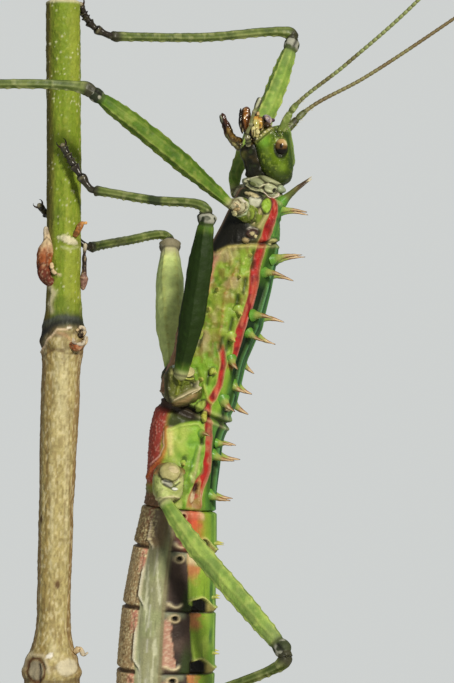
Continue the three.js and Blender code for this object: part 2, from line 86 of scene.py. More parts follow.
def band(value: Array, low: float, high: float, soft: float) -> Array:
    """1 between low and high, with soft edges."""
    return ease(low - soft, low + soft, value) * (1 - ease(high - soft, high + soft, value))


def unit(rows: Array) -> Array:
    """Each row at length 1."""
    return rows / np.maximum(np.linalg.norm(rows, axis=1, keepdims=True), 1e-9)


def domed(before: Array, after: Array, reach: float) -> Array:
    """Closes both ends roundly: from 0 at an end to 1 at reach from it, one row each."""
    return np.sqrt(1 - (1 - np.clip(np.minimum(before, after) / reach, 0, 1)) ** 2)[:, None]


def parted(marks: Sequence[float], place: Array) -> tuple[Array, Array]:
    """Finds the part between two marks that each place lies in.

    Args:
        marks: where the parts start, and where the last one ends.
        place: places along them.

    Returns:
        How long that part is, and the place as a share of it.
    """
    part = np.clip(np.searchsorted(marks, place, side="right") - 1, 0, len(marks) - 2)
    size = np.diff(marks)[part]
    return size, (place - np.array(marks)[part]) / size


def hashed(cells: Array, seed: float) -> Array:
    """A fixed number from 0 to 1 for each whole-number cell."""
    mixed = cells @ np.array([127.1, 311.7, 74.7]) + seed * 53.3
    return np.abs(np.modf(np.sin(mixed) * 43758.5453)[0])


def drift(points: Array, size: float | Point, seed: float = 0) -> Array:
    """Smooth noise from -1 to 1 with patches of about size.

    Args:
        points: places, one row each.
        size: how wide a patch is, or one width per axis.
        seed: picks another pattern.

    Returns:
        One value per place.
    """
    scaled = points / size
    base = np.floor(scaled)
    part = scaled - base
    part = part * part * (3 - 2 * part)
    total = np.zeros(len(points))
    for corner in np.ndindex(2, 2, 2):
        weight = np.prod(np.where(corner, part, 1 - part), axis=1)
        total += weight * hashed(base + np.array(corner), seed)
    return total * 2 - 1


def ripple(value: Array, size: float, seed: float) -> Array:
    """Smooth noise from -1 to 1 along a single value."""
    return drift(np.outer(value, (1, 0, 0)), size, seed)


def grains(points: Array, size: float, seed: float = 0) -> tuple[Array, Array]:
    """Scatters seeds through space.

    Args:
        points: places, one row each.
        size: the mean gap between two seeds.
        seed: picks another pattern.

    Returns:
        How far the nearest seed is, in sizes, and that seed's own number from 0 to 1.
    """
    scaled = points / size
    base = np.floor(scaled)
    nearest = np.full(len(points), 9.0)
    mark = np.zeros(len(points))
    for step in np.ndindex(3, 3, 3):
        cell = base + np.array(step) - 1
        spot = cell + np.stack([hashed(cell, seed + axis + 1) for axis in range(3)], axis=1)
        gap = np.linalg.norm(spot - scaled, axis=1)
        closer = gap < nearest
        nearest = np.where(closer, gap, nearest)
        mark = np.where(closer, hashed(cell, seed + 7), mark)
    return nearest, mark


def knobs(points: Array, size: float, share: float, seed: float = 0) -> Array:
    """Rounded knobs from 0 to 1 high, on a share of the scattered seeds."""
    gap, mark = grains(points, size, seed)
    return np.where(mark < share, np.clip(1 - (gap / (0.25 + 0.3 * np.modf(mark * 7.3)[0])) ** 2, 0, 1), 0)


def shade(colour: Colour) -> tuple[float, float, float]:
    """The linear red, green and blue of a screen colour."""
    parts = [(colour >> shift & 255) / 255 for shift in (16, 8, 0)]
    return tuple(p / 12.92 if p <= 0.04045 else ((p + 0.055) / 1.055) ** 2.4 for p in parts)


class Skin:
    """What lies on a plain surface: its height in millimetres, its colour and its gloss."""

    def __init__(self, share: Array, angle: Array, place: Array) -> None:
        """Starts flat, black and without gloss.

        Args:
            share: how far along each point is, from 0 to 1 (on the trunk in millimetres).
            angle: each point's angle from the upper edge in degrees, positive towards "side".
            place: each point's place in millimetres.
        """
        self.share, self.angle, self.place = share, angle, place
        self.height, self.gloss = np.zeros(len(share)), np.zeros(len(share))
        self.tint = np.zeros((len(share), 3))

    def paint(self, colour: Colour, cover: Array | float = 1) -> None:
        """Lays a colour on, as thickly as cover says, from 0 to 1."""
        self.tint += (np.array(shade(colour)) - self.tint) * np.reshape(np.clip(cover, 0, 1), (-1, 1))

    def layer(self, where: Array | float, *coats: tuple[Colour, Array | float]) -> None:
        """Paints coat over coat, each with its own cover, as far as where lets them show."""
        for colour, cover in coats:
            self.paint(colour, where * cover)

    def shape(self, height: float, cover: Array, colour: Colour | None = None, share: float = 1) -> None:
        """Raises or sinks the surface, and may colour it there.

        Args:
            height: how far, in millimetres.
            cover: where, from 0 to 1.
            colour: the colour there.
            share: how thickly that colour lies.
        """
        self.height += height * cover
        if colour is not None:
            self.paint(colour, cover * share)

    def wear(self, details: "Relief", cover: Array | float = 1) -> None:
        """Lays plates and strokes on, as far as cover lets them show."""
        for detail in details:
            detail.lay(self, cover)


# ---- lines and skins


class Line:
    """A smooth line through points, read by its share of the length."""

    SAMPLES = 60

    def __init__(self, points: Sequence[Sequence[float]]) -> None:
        """Smooths a line through its points.

        Args:
            points: each (x, y, z), or (x, z) where y is 0.
        """
        knots = np.array([(p[0], 0, p[1]) if len(p) == 2 else tuple(p) for p in points], float)
        knots = np.vstack([2 * knots[0] - knots[1], knots, 2 * knots[-1] - knots[-2]])
        dense = [self._stretch(*knots[i : i + 4]) for i in range(len(knots) - 3)]
        self.points = np.vstack([*dense, knots[-2]])
        steps = np.linalg.norm(np.diff(self.points, axis=0), axis=1)
        self.reach = np.concatenate([[0.0], np.cumsum(steps)])
        self.length = float(self.reach[-1])
        self.runs = np.gradient(self.points, self.reach, axis=0)

    def _stretch(self, before: Array, start: Array, end: Array, after: Array) -> Array:
        """One stretch by the centripetal rule.

        Args:
            before: the knot before it.
            start: its first knot.
            end: its last knot.
            after: the knot after it.

        Returns:
            Its points without the last, one row each.
        """
        gaps = [np.linalg.norm(b - a) ** 0.5 for a, b in ((before, start), (start, end), (end, after))]
        first, middle, last = (max(gap, 1e-4) for gap in gaps)
        leave = (start - before) / first - (end - before) / (first + middle) + (end - start) / middle
        arrive = (end - start) / middle - (after - start) / (middle + last) + (after - end) / last
        leave, arrive = leave * middle, arrive * middle
        t = np.linspace(0, 1, self.SAMPLES, endpoint=False)[:, None]
        cubic = 2 * start - 2 * end + leave + arrive
        square = -3 * start + 3 * end - 2 * leave - arrive
        return start + leave * t + square * t**2 + cubic * t**3

    def frames(self, share: Array, towards: Array | Point) -> tuple[Array, Array, Array, Array]:
        """Where the line is and how it is turned.

        Args:
            share: shares of the length, which may run past 0 and 1.
            towards: the direction that up leans to, one row or one per share.

        Returns:
            The points, and the directions along, aside and up, one row each.
        """
        inside = np.clip(share, 0, 1) * self.length
        point = np.stack([np.interp(inside, self.reach, self.points[:, i]) for i in range(3)], axis=1)
        run = unit(np.stack([np.interp(inside, self.reach, self.runs[:, i]) for i in range(3)], axis=1))
        point += run * (share * self.length - inside)[:, None]
        side = unit(np.cross(run, np.broadcast_to(towards, run.shape)))
        return point, run, side, np.cross(side, run)


def stepped(start: Point, goal: Point, step: float) -> Vector:
    """The point a step away from start, towards goal."""
    return Vector(start) + (Vector(goal) - Vector(start)).normalized() * step


def mesh_from(name: str, bm: BMesh) -> bpy.types.Object:
    """Makes a smooth-shaded object.

    Args:
        name: the object's name.
        bm: its bmesh, which is freed.

    Returns:
        The object, in the scene.
    """
    mesh = bpy.data.meshes.new(name)
    bm.to_mesh(mesh)
    bm.free()
    mesh.shade_smooth()
    obj = bpy.data.objects.new(name, mesh)
    bpy.context.scene.collection.objects.link(obj)
    return obj


class Tube:
    """A grid that closes into a tube round a line of centres."""

    def __init__(self, around: int, along: int) -> None:
        """Starts with a flat grid.

        Args:
            around: faces round the tube.
            along: faces along it.
        """
        bm = bmesh.new()
        bmesh.ops.create_grid(bm, x_segments=around, y_segments=along, size=0.5)
        self.grid = bpy.data.meshes.new("grid")
        bm.to_mesh(self.grid)
        bm.free()
        flat = np.empty(len(self.grid.vertices) * 3, np.float32)
        self.grid.vertices.foreach_get("co", flat)
        flat = flat.reshape(-1, 3).astype(float)
        self.share, self.angle = flat[:, 1] + 0.5, flat[:, 0] * 2 * math.pi

    def lay(self, skin: Skin, centre: Array, ring: Array, out: Array, close: Array) -> "Tube":
        """Places the tube.

        Args:
            skin: its plain skin.
            centre: the centre that each point belongs to.
            ring: the way from there to the plain surface.
            out: the direction in which the skin rises.
            close: 1, and down to 0 where the tube closes.

        Returns:
            The tube itself.
        """
        self.skin, self.centre, self.ring, self.out, self.close = skin, centre, ring, out, close
        return self

    def mesh(self, lift: Callable[[Skin], None] | None = None) -> BMesh:
        """Closes the tube.

        Args:
            lift: shapes and colours the skin before that.

        Returns:
            A bmesh in metres with closed ends, and with the marks tint and gloss.
        """
        skin, mesh = self.skin, self.grid
        if lift:
            lift(skin)
        places = self.centre + (self.ring + self.out * skin.height[:, None]) * self.close
        mesh.vertices.foreach_set("co", (places * MM).astype(np.float32).ravel())
        tint = mesh.attributes.new("tint", "FLOAT_COLOR", "POINT")
        tint.data.foreach_set("color", np.insert(skin.tint, 3, 1, axis=1).astype(np.float32).ravel())
        gloss = mesh.attributes.new("gloss", "FLOAT", "POINT")
        gloss.data.foreach_set("value", np.clip(skin.gloss, 0, 1).astype(np.float32))
        bm = bmesh.new()
        bm.from_mesh(mesh)
        bpy.data.meshes.remove(mesh)
        bmesh.ops.remove_doubles(bm, verts=bm.verts, dist=2e-7)
        bmesh.ops.holes_fill(bm, edges=[edge for edge in bm.edges if edge.is_boundary], sides=0)
        bmesh.ops.recalc_face_normals(bm, faces=bm.faces)
        return bm

    def plain(self, colour: Colour, tip: Colour | None = None) -> BMesh:
        """Closes the tube in one colour, or in one that turns to its tip's colour."""
        self.skin.paint(colour)
        return self.mesh(lambda skin: skin.paint(tip or colour, ease(0.4, 0.75, skin.share)))


def joined(parts: Sequence[BMesh]) -> BMesh:
    """Puts several bmeshes into one, marks included.

    Args:
        parts: the bmeshes, which are freed.

    Returns:
        One bmesh.
    """
    whole = bmesh.new()
    for part in parts:
        mesh = bpy.data.meshes.new("part")
        part.to_mesh(mesh)
        part.free()
        whole.from_mesh(mesh)
        bpy.data.meshes.remove(mesh)
    return whole


def turned(profile: Sequence[tuple[float, float]], centre: tuple[float, float], steps: int) -> BMesh:
    """Spins a profile round an upright axis.

    Args:
        profile: its corners as (radius, height), from the axis back to it.
        centre: where the axis stands.
        steps: faces round it.

    Returns:
        A closed bmesh in metres.
    """
    bm = bmesh.new()
    spots = [bm.verts.new(Vector((r + centre[0], centre[1], z)) * MM) for r, z in profile]
    edges = [bm.edges.new(pair) for pair in zip(spots, spots[1:])]
    axis_point = Vector((centre[0], centre[1], 0)) * MM
    bmesh.ops.spin(bm, geom=spots + edges, cent=axis_point, axis=(0, 0, 1), angle=2 * math.pi, steps=steps,
        use_merge=True)
    bmesh.ops.remove_doubles(bm, verts=bm.verts, dist=1e-7)
    bmesh.ops.recalc_face_normals(bm, faces=bm.faces)
    return bm


def rod(
    points: Line | Path, high: Stops, around: int, along: int, towards: Point = (0, 0.3, 1),
    blunt: float = 0.03, square: float = 1, wide: Stops | float = 1.0,
) -> Tube:
    """A limb along a line, with rounded ends.

    Args:
        points: the line, or the points it goes through.
        high: half its height.
        around: faces round it.
        along: faces along it.
        towards: the direction that its upper edge leans to.
        blunt: the share of the length over which each end closes.
        square: below 1 the ring is boxier than an ellipse.
        wide: half its width, or that as a share of half the height.

    Returns:
        The limb's tube.
    """
    line = points if isinstance(points, Line) else Line(points)
    tube = Tube(around, along)
    packed = 0.5 - 0.5 * np.cos(tube.share * math.pi)
    share = packed * 0.35 + tube.share * 0.65
    spot, _, side, up = line.frames(share, towards)
    tall = read(high, share)
    broad = tall * wide if isinstance(wide, float) else read(wide, share)
    ring = side * (boxed(np.sin(tube.angle), square) * broad)[:, None]
    ring = ring + up * (boxed(np.cos(tube.angle), square) * tall)[:, None]
    close = domed(share, 1 - share, blunt)
    skin = Skin(share, np.degrees(tube.angle), spot + ring * close)
    return tube.lay(skin, spot, ring, unit(ring), close)


def ball(centre: Point, radii: Point, lean: float = 0, steps: int = 24) -> Tube:
    """A rounded lump.

    Args:
        centre: its middle.
        radii: its radius along X, Y and Z.
        lean: how far its top leans towards +X, in degrees.
        steps: faces round it and along it.

    Returns:
        The lump's tube.
    """
    tall = Vector((math.sin(math.radians(lean)), 0, math.cos(math.radians(lean)))) * radii[2]
    ends = [Vector(centre) - tall, Vector(centre) + tall]
    return rod(ends, even(radii[0], radii[0]), steps, steps, (1, 0, 0), 0.5, wide=radii[1] / radii[0])


def boxed(value: Array, power: float) -> Array:
    """A sine or cosine pushed outwards, which makes a round ring boxier."""
    return np.sign(value) * np.abs(value) ** power


# ---- shader values


Value = "Signal | float | Colour | Point"


class Signal:
    """A shader value that Python's operators work on."""

    def __init__(self, net: "Net", socket: bpy.types.NodeSocket) -> None:
        """Wraps an output socket of a net."""
        self.net = net
        self.socket = socket

    def __add__(self, other: Value) -> "Signal":
        """This value plus another."""
        return self.net.maths("ADD", self, other)

    def __sub__(self, other: Value) -> "Signal":
        """This value less another."""
        return self.net.maths("SUBTRACT", self, other)

    def __mul__(self, other: Value) -> "Signal":
        """This value times another."""
        return self.net.maths("MULTIPLY", self, other)

    def __rsub__(self, other: Value) -> "Signal":
        """Another value less this one."""
        return self.net.maths("SUBTRACT", other, self)

    __radd__ = __add__
    __rmul__ = __mul__


class Net:
    """The nodes of a material or a world, made by expressions."""

    def __init__(self, name: str, store: bpy.types.bpy_prop_collection = bpy.data.materials) -> None:
        """Starts an empty net.

        Args:
            name: the name of its owner.
            store: where the owner is made.
        """
        self.owner = store.new(name)
        self.owner.use_nodes = True
        self.tree = self.owner.node_tree
        self.tree.nodes.clear()

    def node(self, kind: str, settings: dict[str, object] | None = None, **values: Value) -> bpy.types.Node:
        """Adds a node.

        Args:
            kind: the node's type name without its ShaderNode prefix.
            settings: properties that are set before its sockets.
            values: socket values by name, with _ for a space, or in0, in1 for the socket's number.

        Returns:
            The new node.
        """
        made = self.tree.nodes.new(f"ShaderNode{kind}")
        for key, setting in (settings or {}).items():
            setattr(made, key, setting)
        for key, value in values.items():
            spot = int(key[2:]) if key.startswith("in") and key[2:].isdigit() else key.replace("_", " ")
            self.join(made.inputs[spot], value)
        return made

    def join(self, socket: bpy.types.NodeSocket, value: Value) -> None:
        """Feeds a socket.

        Args:
            socket: the input socket.
            value: a signal to link, or the socket's own value.
        """
        if isinstance(value, Signal):
            self.tree.links.new(value.socket, socket)
        elif isinstance(value, int) and socket.type in ("RGBA", "VECTOR"):
            socket.default_value = (*shade(value), 1.0)[: len(socket.default_value)]
        else:
            socket.default_value = value

    def out(
        self, kind: str, settings: dict[str, object] | None = None, output: int | str = 0, **values: Value
    ) -> Signal:
        """Adds a node as node does, and gives one of its outputs."""
        return Signal(self, self.node(kind, settings, **values).outputs[output])

    def maths(self, operation: str, *values: Value) -> Signal:
        """One sum on plain values."""
        sockets = {f"in{number}": value for number, value in enumerate(values)}
        return self.out("Math", {"operation": operation}, **sockets)

    def mix(self, factor: Value, first: Value, second: Value) -> Signal:
        """A colour between two, by a factor."""
        return self.out("Mix", {"data_type": "RGBA"}, 2, in0=factor, in6=first, in7=second)

    def tinted(self, colour: Value, amount: Value) -> Signal:
        """A colour made lighter or darker by a plain amount."""
        return self.out("VectorMath", {"operation": "SCALE"}, in0=colour, Scale=amount)

    def place(self, stretch: Point = (1, 1, 1)) -> Signal:
        """The place on the object, stretched along each axis, in metres."""
        return self.out("Mapping", in0=self.out("TexCoord", output="Object"), Scale=stretch)

    def noise(self, size: float, detail: float = 3, rough: float = 0.55, at: Signal | None = None) -> Signal:
        """Cloudy noise from 0 to 1 whose patches are about size millimetres."""
        scale = 1 / (size * MM)
        return self.out("TexNoise", None, "Fac", Vector=at or self.place(), Scale=scale, Detail=detail,
            Roughness=rough)

    def cells(self, size: float) -> Signal:
        """The distance to the nearest of scattered seeds, size millimetres apart."""
        return self.out("TexVoronoi", None, "Distance", Vector=self.place(), Scale=1 / (size * MM))

    def step(self, value: Value, low: float, high: float) -> Signal:
        """Goes smoothly from 0 at low to 1 at high."""
        return self.out("MapRange", {"interpolation_type": "SMOOTHSTEP"}, Value=value, in1=low, in2=high,
            in3=0.0, in4=1.0)

    def bump(self, height: Value, depth: float, **under: Signal) -> Signal:
        """A bumped normal, for a height from 0 to 1 that is depth millimetres deep, over Normal."""
        return self.out("Bump", Height=height, Distance=depth * MM, Strength=1.0, **under)

    def finish(self, colour: Value, roughness: Value, normal: Signal, **more: Value) -> Material:
        """Ends in a Principled shader, and gives the material back."""
        self.node("OutputMaterial",
            in0=self.out("BsdfPrincipled", Base_Color=colour, Roughness=roughness, Normal=normal, **more))
        return self.owner


# ---- finishes

LEAF = 0x7EA630
DEEP = 0x346022
TEAL = 0x1A4636
PALE_LINE = 0xB0D0B0
CREAM = 0xE2D69E
BEIGE = 0xBEB082
SAND = 0xA8966C
SILVER = 0xCECCC0
BROWN = 0x705438
SHADOW = 0x26241C
BLACK = 0x141212


@dataclass(frozen=True)
class Cuticle:
    """A finish of the insect's shell, over the colours that the mesh carries."""

    name: str
    roughness: float = 0.5
    coat: float = 0.03
    mottle: float = 0.35
    patch: float = 0.9
    grain: float = 0.22
    depth: float = 0.035
    shine: float = 0.25

    def make(self) -> Material:
        """Builds the material.

        Returns:
            A material that reads the marks tint and gloss.
        """
        net = Net(self.name)
        broad = net.noise(self.patch, 4)
        fine = net.noise(self.grain, 3, 0.6)
        pits = net.cells(self.grain * 1.6)
        light = 1 + (broad - 0.5) * self.mottle * 1.6 + (fine - 0.5) * self.mottle
        colour = net.tinted(net.out("Attribute", {"attribute_name": "tint"}, "Color"), light)
        colour = net.mix(net.step(broad, 0.58, 0.8) * 0.25, colour, net.tinted(colour, 1.35))
        gloss = net.out("Attribute", {"attribute_name": "gloss"}, "Fac")
        rough = self.roughness + (fine - 0.5) * 0.25 - gloss * 0.25
        normal = net.bump(fine * 0.6 + net.step(pits, 0.0, 0.5) * 0.5, self.depth)
        normal = net.bump(broad, self.depth * 2, Normal=normal)
        return net.finish(colour, rough, normal, Coat_Weight=gloss * 0.3 + self.coat, Coat_Roughness=0.25,
            Specular_IOR_Level=self.shine)


class Side(Enum):
    """A side of the insect; its left is towards -Y."""

    LEFT = -1
    RIGHT = 1


def dress(bm: BMesh, name: str, finish: Material, slot: str, *nodes: str) -> bpy.types.Object:
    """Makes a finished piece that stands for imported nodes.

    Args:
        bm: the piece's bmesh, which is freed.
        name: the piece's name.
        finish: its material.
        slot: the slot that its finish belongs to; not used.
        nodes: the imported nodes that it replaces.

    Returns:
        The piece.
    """
    obj = mesh_from(name, bm)
    obj.data.materials.clear()
    obj.data.materials.append(finish)
    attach(obj, "root")
    if nodes:
        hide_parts(*nodes)
    LOG.info("%s: %d faces", name, len(obj.data.polygons))
    return obj


# ---- the trunk


@dataclass(frozen=True)
class Spine:
    """A spine of the trunk: its place along it, its angle from the back, its length and radius, its lean."""

    at: float
    angle: float
    length: float
    radius: float
    lean: float


@dataclass(frozen=True)
class Plate:
    """A raised plate in the side view: its middle, half sizes, turn in degrees, height and colours."""

    x: float
    z: float
    long: float
    wide: float
    turn: float
    height: float
    colour: Colour
    edge: Colour = SHADOW
    rim: float = 0.85

    def lay(self, skin: Skin, cover: Array | float = 1) -> None:
        """Raises the plate out of a skin, with a dark seam round it.

        Args:
            skin: the skin that it changes.
            cover: how much of it shows at each place.
        """
        place = skin.place
        tilt = math.radians(self.turn)
        first, second = place[:, 0] - self.x, place[:, 2] - self.z
        u = (first * math.cos(tilt) + second * math.sin(tilt)) / self.long
        v = (second * math.cos(tilt) - first * math.sin(tilt)) / self.wide
        reach = np.hypot(u, v) * (1 + 0.07 * drift(place, 0.5, 17))
        dome = np.sqrt(np.clip(1 - reach**2.4, 0, 1))
        skin.paint(self.edge, band(reach, 0.94, 1.2, 0.12) * self.rim * cover)
        skin.shape(-0.14 * self.rim, band(reach, 0.96, 1.2, 0.1) * cover)
        skin.paint(self.colour, ease(1, 0.8, reach) * 0.95 * cover)
        skin.shape(self.height, dome * cover)


@dataclass(frozen=True)
class Stroke:
    """A ridge, or a groove below 0, along points of the side view, given as x and z in turn."""

    points: Sequence[float]
    half: float
    height: float
    colour: Colour
    share: float = 0.85

    def lay(self, skin: Skin, cover: Array | float = 1) -> None:
        """Raises or sinks a skin along the stroke, and colours it.

        Args:
            skin: the skin that it changes.
            cover: how much of it shows at each place.
        """
        place = skin.place
        flat = place[:, [0, 2]] + 0.06 * drift(place, 0.6, 18)[:, None]
        gap = np.full(len(flat), 9)
        knots = np.reshape(self.points, (-1, 2))
        for first, run in zip(knots, np.diff(knots, axis=0)):
            share = np.clip(((flat - first) @ run) / (run @ run), 0, 1)
            gap = np.minimum(gap, np.linalg.norm(flat - first - share[:, None] * run, axis=1))
        skin.shape(self.height, hump(gap, self.half) * cover, self.colour, self.share)


Relief = Sequence[Plate | Stroke]


def relief(*rows: tuple) -> Relief:
    """Strokes from the rows that start with points, and plates from the others."""
    return tuple((Stroke if isinstance(row[0], tuple) else Plate)(*row) for row in rows)


@dataclass
class Trunk:
    """The thorax and the abdomen: two closed skins that meet at the waist, with spines on both sides.

    Along the trunk, depth and width are half its sizes, taper narrows its back, roll turns it, flat levels
    its back, and the stripes are angles. A degree round it is about girth millimetres long.
    """

    line: Line = field(default_factory=lambda: Line([
        (14.1, 108.4), (11.9, 102.8), (9.2, 94.9), (7.6, 88.9), (5.9, 83.3), (4.6, 80), (4, 75.1),
        (3.6, 70.8), (2.3, 58.8), (1.6, 44.1), (1, 30.7), (1.3, 22), (2.5, 15.8),
    ]))
    depth: Stops = (
        0, 3, 1, 3.4, 5.5, 3.7, 11, 4.5, 16, 4.9, 21, 4.6, 25.5, 4.8, 28, 4.4, 38, 4.15, 43.5, 4.8, 51.4, 5.5,
        58.5, 5.75, 66, 5.7, 73, 5.2, 79.5, 4.3, 84.3, 3.3, 88, 2.4, 91.5, 1.6, 93.9, 0.7,
    )
    width: Stops = (
        0, 2.5, 1.5, 3.1, 5.5, 3.3, 11, 3.7, 16, 4, 23, 4.5, 27, 4.3, 32, 4.5, 38, 4.3, 43, 4.5, 51, 4.9, 59,
        5.2, 69, 5.1, 75, 4.4, 84, 3, 89, 1.8, 93.9, 0.6,
    )
    taper: Stops = (0, 0.1, 11, 0.22, 39, 0.26, 59, 0.22, 79, 0.16, 93.9, 0)
    roll: Stops = (0, -2, 7, -8, 15, -17, 25, -12, 33, -7, 41, 0, 93, 2)
    flat: Stops = (
        0, 0.7, 1.7, 0.68, 3.1, 0.75, 4.2, 0.86, 5.4, 0.97, 7, 1.1, 15.5, 1.1, 17.5, 0.93, 19.8, 0.85, 25,
        0.88, 26.5, 0.86, 27.5, 1.1,
    )
    neck_edge: Stops = (8.5, 101.3, 9.5, 101.95, 11.55, 102.25, 13.6, 102.2, 15.4, 102.4)
    square: float = 0.82
    waist: float = 39.3
    length: float = 93.9
    segments: Sequence[float] = (39.3, 44.3, 51.4, 58.8, 66.1, 73.1, 79.5, 84.3, 88.1, 93.9)
    girth: float = 0.077
    upper_stripe: Stops = (
        0, 80, 0.6, 76, 1.8, 61, 3.8, 63, 5.2, 60, 6.4, 61, 9.2, 58, 12, 48, 14.4, 46, 16.8, 51, 19.6, 46, 21,
        49, 23, 52,
    )
    lower_stripe: Stops = (
        13, 86, 16, 80, 17.8, 79, 18.8, 74, 21, 63, 23.6, 61, 26.2, 70, 27.3, 64, 27.8, 57, 30, 48, 32.6, 45,
        34.5, 48, 36, 58, 37.6, 67, 41.2, 75, 44, 80,
    )
    spines: Sequence[Spine] = tuple(Spine(*row) for row in (
        (0.2, 22, 4.6, 0.44, 1.7), (1.4, 26, 3.5, 0.42, 0.28), (7.2, 15, 3.6, 0.5, 0.5),
        (9.1, 32, 3, 0.5, 0.1), (14.5, 27, 2.7, 0.5, 0.1), (16.9, 27, 2.4, 0.45, -0.2),
        (25.3, 45, 2.4, 0.6, -0.3), (23.3, 18, 1.7, 0.55, -0.2), (30.9, 18, 1.8, 0.4, 0),
        (32.6, 27, 2.8, 0.5, -0.14), (37.4, 27, 2.6, 0.5, -0.14), (43, 16, 1.3, 0.3, 0),
        (49.5, 18, 1, 0.3, 0), (56.4, 18, 1, 0.3, 0), (63.6, 18, 0.9, 0.3, 0), (70.6, 18, 0.8, 0.3, 0),
    ))
    tubercles: Sequence[Spine] = tuple(Spine(*row) for row in (
        (7.8, 75, 0.8, 0.4, 0.2), (12.9, 94, 1, 0.45, 0.2), (15.4, 95, 1.1, 0.5, 0.2),
        (18.3, 99, 1.2, 0.5, 0.3), (20.4, 103, 1.2, 0.45, 0.8), (14.6, 60, 1.3, 0.5, -0.3),
        (17.9, 61, 1.3, 0.5, -0.3), (20.5, 50, 1.9, 0.5, -0.45), (22.3, 73, 1.1, 0.45, -0.1),
        (23.6, 86, 0.8, 0.4, 0), (10.6, 78, 0.7, 0.35, 0), (29.8, 62, 2.1, 0.42, 0),
        (33.8, 86, 0.9, 0.3, -0.2),
    ))
    neck_plates: Relief = relief(
        (12.6, 107.3, 0.9, 0.8, 20, 0.42, 0xBEBEA6), (12.26, 108.07, 1, 0.3, -18, 0.3, 0xBCB084),
        (14, 106.8, 0.95, 0.62, 80, 0.36, 0x96B83E), (11.5, 102.6, 0.45, 0.36, 0, 0.25, SAND),
        (12.3, 103.5, 0.8, 0.6, 20, 0.16, 0x402A24, 0x221A18), (12.3, 103.4, 0.3, 0.26, 0, 0.2, BEIGE),
        (12.7, 103.1, 0.2, 0.2, 0, 0.2, CREAM), (14.7, 102.5, 0.62, 0.4, 20, 0.2, 0xB0AA6E),
        (6.6, 81.6, 0.72, 0.42, 84, 0.55, 0xB2B44E), (9.4, 82.5, 0.4, 0.34, 0, 0.3, BEIGE),
        (6.1, 82.8, 0.9, 0.5, 50, 0.3, 0x96AA4C), (7.5, 87, 0.5, 0.34, 60, 0.5, 0xAAB84C),
        (5.2, 72, 0.8, 0.3, 78, 0.2, 0xC4B08C, 0x784638, 0.6),
        (5.6, 73.1, 0.6, 0.3, 70, -0.3, 0x3C1E1A, 0x785A3C),
        (4.2, 76.5, 0.5, 0.4, 80, -0.15, 0x46601E, 0x789632),
    )
    shadows: Relief = tuple(Stroke(points, 0.26, -0.2, 0x283612, 0.85) for points in (
        (12.4, 101.2, 12.3, 99.3), (11.5, 98, 11.2, 96.4), (10.6, 96, 10.3, 94.4), (9.9, 93.3, 9.6, 91.9),
        (8.7, 91, 8.3, 89.5), (7.1, 86.9, 6.9, 85.5), (6.3, 91.4, 5.9, 90.1), (9.5, 91, 9.2, 89.5),
        (6.1, 79.6, 6.3, 78.4),
    ))
    folds: Relief = relief(
        # painted highlight: a white glint on the dark brown knob
        ((11.8, 103.9, 12, 104.1, 12.9, 103.9), 0.12, 0.24, 0xF4ECDA, 0.95),
        ((11.7, 103.4, 12.1, 103.2, 12.6, 103.3), 0.07, 0.1, 0xAA8264, 0.7),
        ((13.4, 106.5, 12.5, 104.7), 0.24, 0.26, BEIGE), ((14.2, 106, 13, 104.1), 0.24, 0.28, 0xBAB274),
        ((13.9, 106.3, 12.7, 104.4), 0.12, -0.2, 0x3C341E),
        ((11.66, 107.95, 13.57, 107.77, 14.4, 106.7, 14.17, 105.98), 0.12, -0.2, 0x3C3622),
        ((2.1, 80.2, 2.1, 78.1, 1.7, 76.8, 0.5, 75.5, -0.1, 74.3), 0.24, 0.34, 0xB0602E),
        ((1.8, 79.8, 1.8, 78.1, 1.4, 77, 0.2, 75.9), 0.11, 0.12, 0xE0AA98),
        ((2.6, 80, 2.6, 77.2), 0.3, 0.14, 0xD8C880, 0.75),
        ((2.6, 80, 3.7, 80.5, 5.2, 80.7, 5.9, 80.7, 6.4, 80), 0.16, 0.2, 0xB0C460, 0.7),
        ((6.1, 78, 5.6, 75.5, 5.2, 73.9), 0.2, 0.12, 0xC4B088, 0.55),
        ((5.7, 78, 4.5, 74), 0.12, -0.16, 0x426E24, 0.7),
        ((7.7, 100.7, 7.5, 98.5, 7, 96.4), 0.2, 0.12, 0xBE705C, 0.7),
        ((8.2, 101.3, 9.4, 101.8, 11.2, 102, 13, 102.1), 0.2, 0.2, 0xBEB068, 0.6),
        ((9.5, 101.7, 9.9, 100, 9.6, 98.3, 10, 96.7), 0.14, 0.12, 0xCAC070, 0.5),
        ((10.6, 101.8, 10.8, 100, 10.5, 97.9), 0.12, -0.12, 0x605424, 0.5),
        ((5.6, 87.4, 6.3, 85.3, 6.1, 83.1), 0.15, -0.2, 0x46581E, 0.7),
        ((6.5, 85.3, 6.9, 83.8, 7.5, 83.1), 0.16, 0.2, 0xB0B854, 0.7),
    )

    def surface(self, s: Array, angle: Array) -> tuple[Array, Array, Array]:
        """The plain surface.

        Args:
            s: distances along the trunk.
            angle: angles in radians.

        Returns:
            The places, the ways out and the runs, one row each.
        """
        turn = np.radians(read(self.roll, s))
        towards = np.stack([np.cos(turn), np.sin(turn), 0 * turn], axis=1)
        spot, run, side, up = self.line.frames(s / self.length, towards)
        wide = read(self.width, s) * (1 - read(self.taper, s) * np.cos(angle))
        high = read(self.depth, s)
        across = side * (boxed(np.sin(angle), self.square) * wide)[:, None]
        level, cap = boxed(np.cos(angle), self.square), read(self.flat, s)
        level = np.where(level > cap - 0.2, cap - 0.2 + 0.2 * np.tanh((level - cap + 0.2) / 0.2), level)
        across = across + up * (level * high)[:, None]
        out = side * (np.sin(angle) / wide)[:, None] + up * (np.cos(angle) / high)[:, None]
        return spot + across, unit(out), run

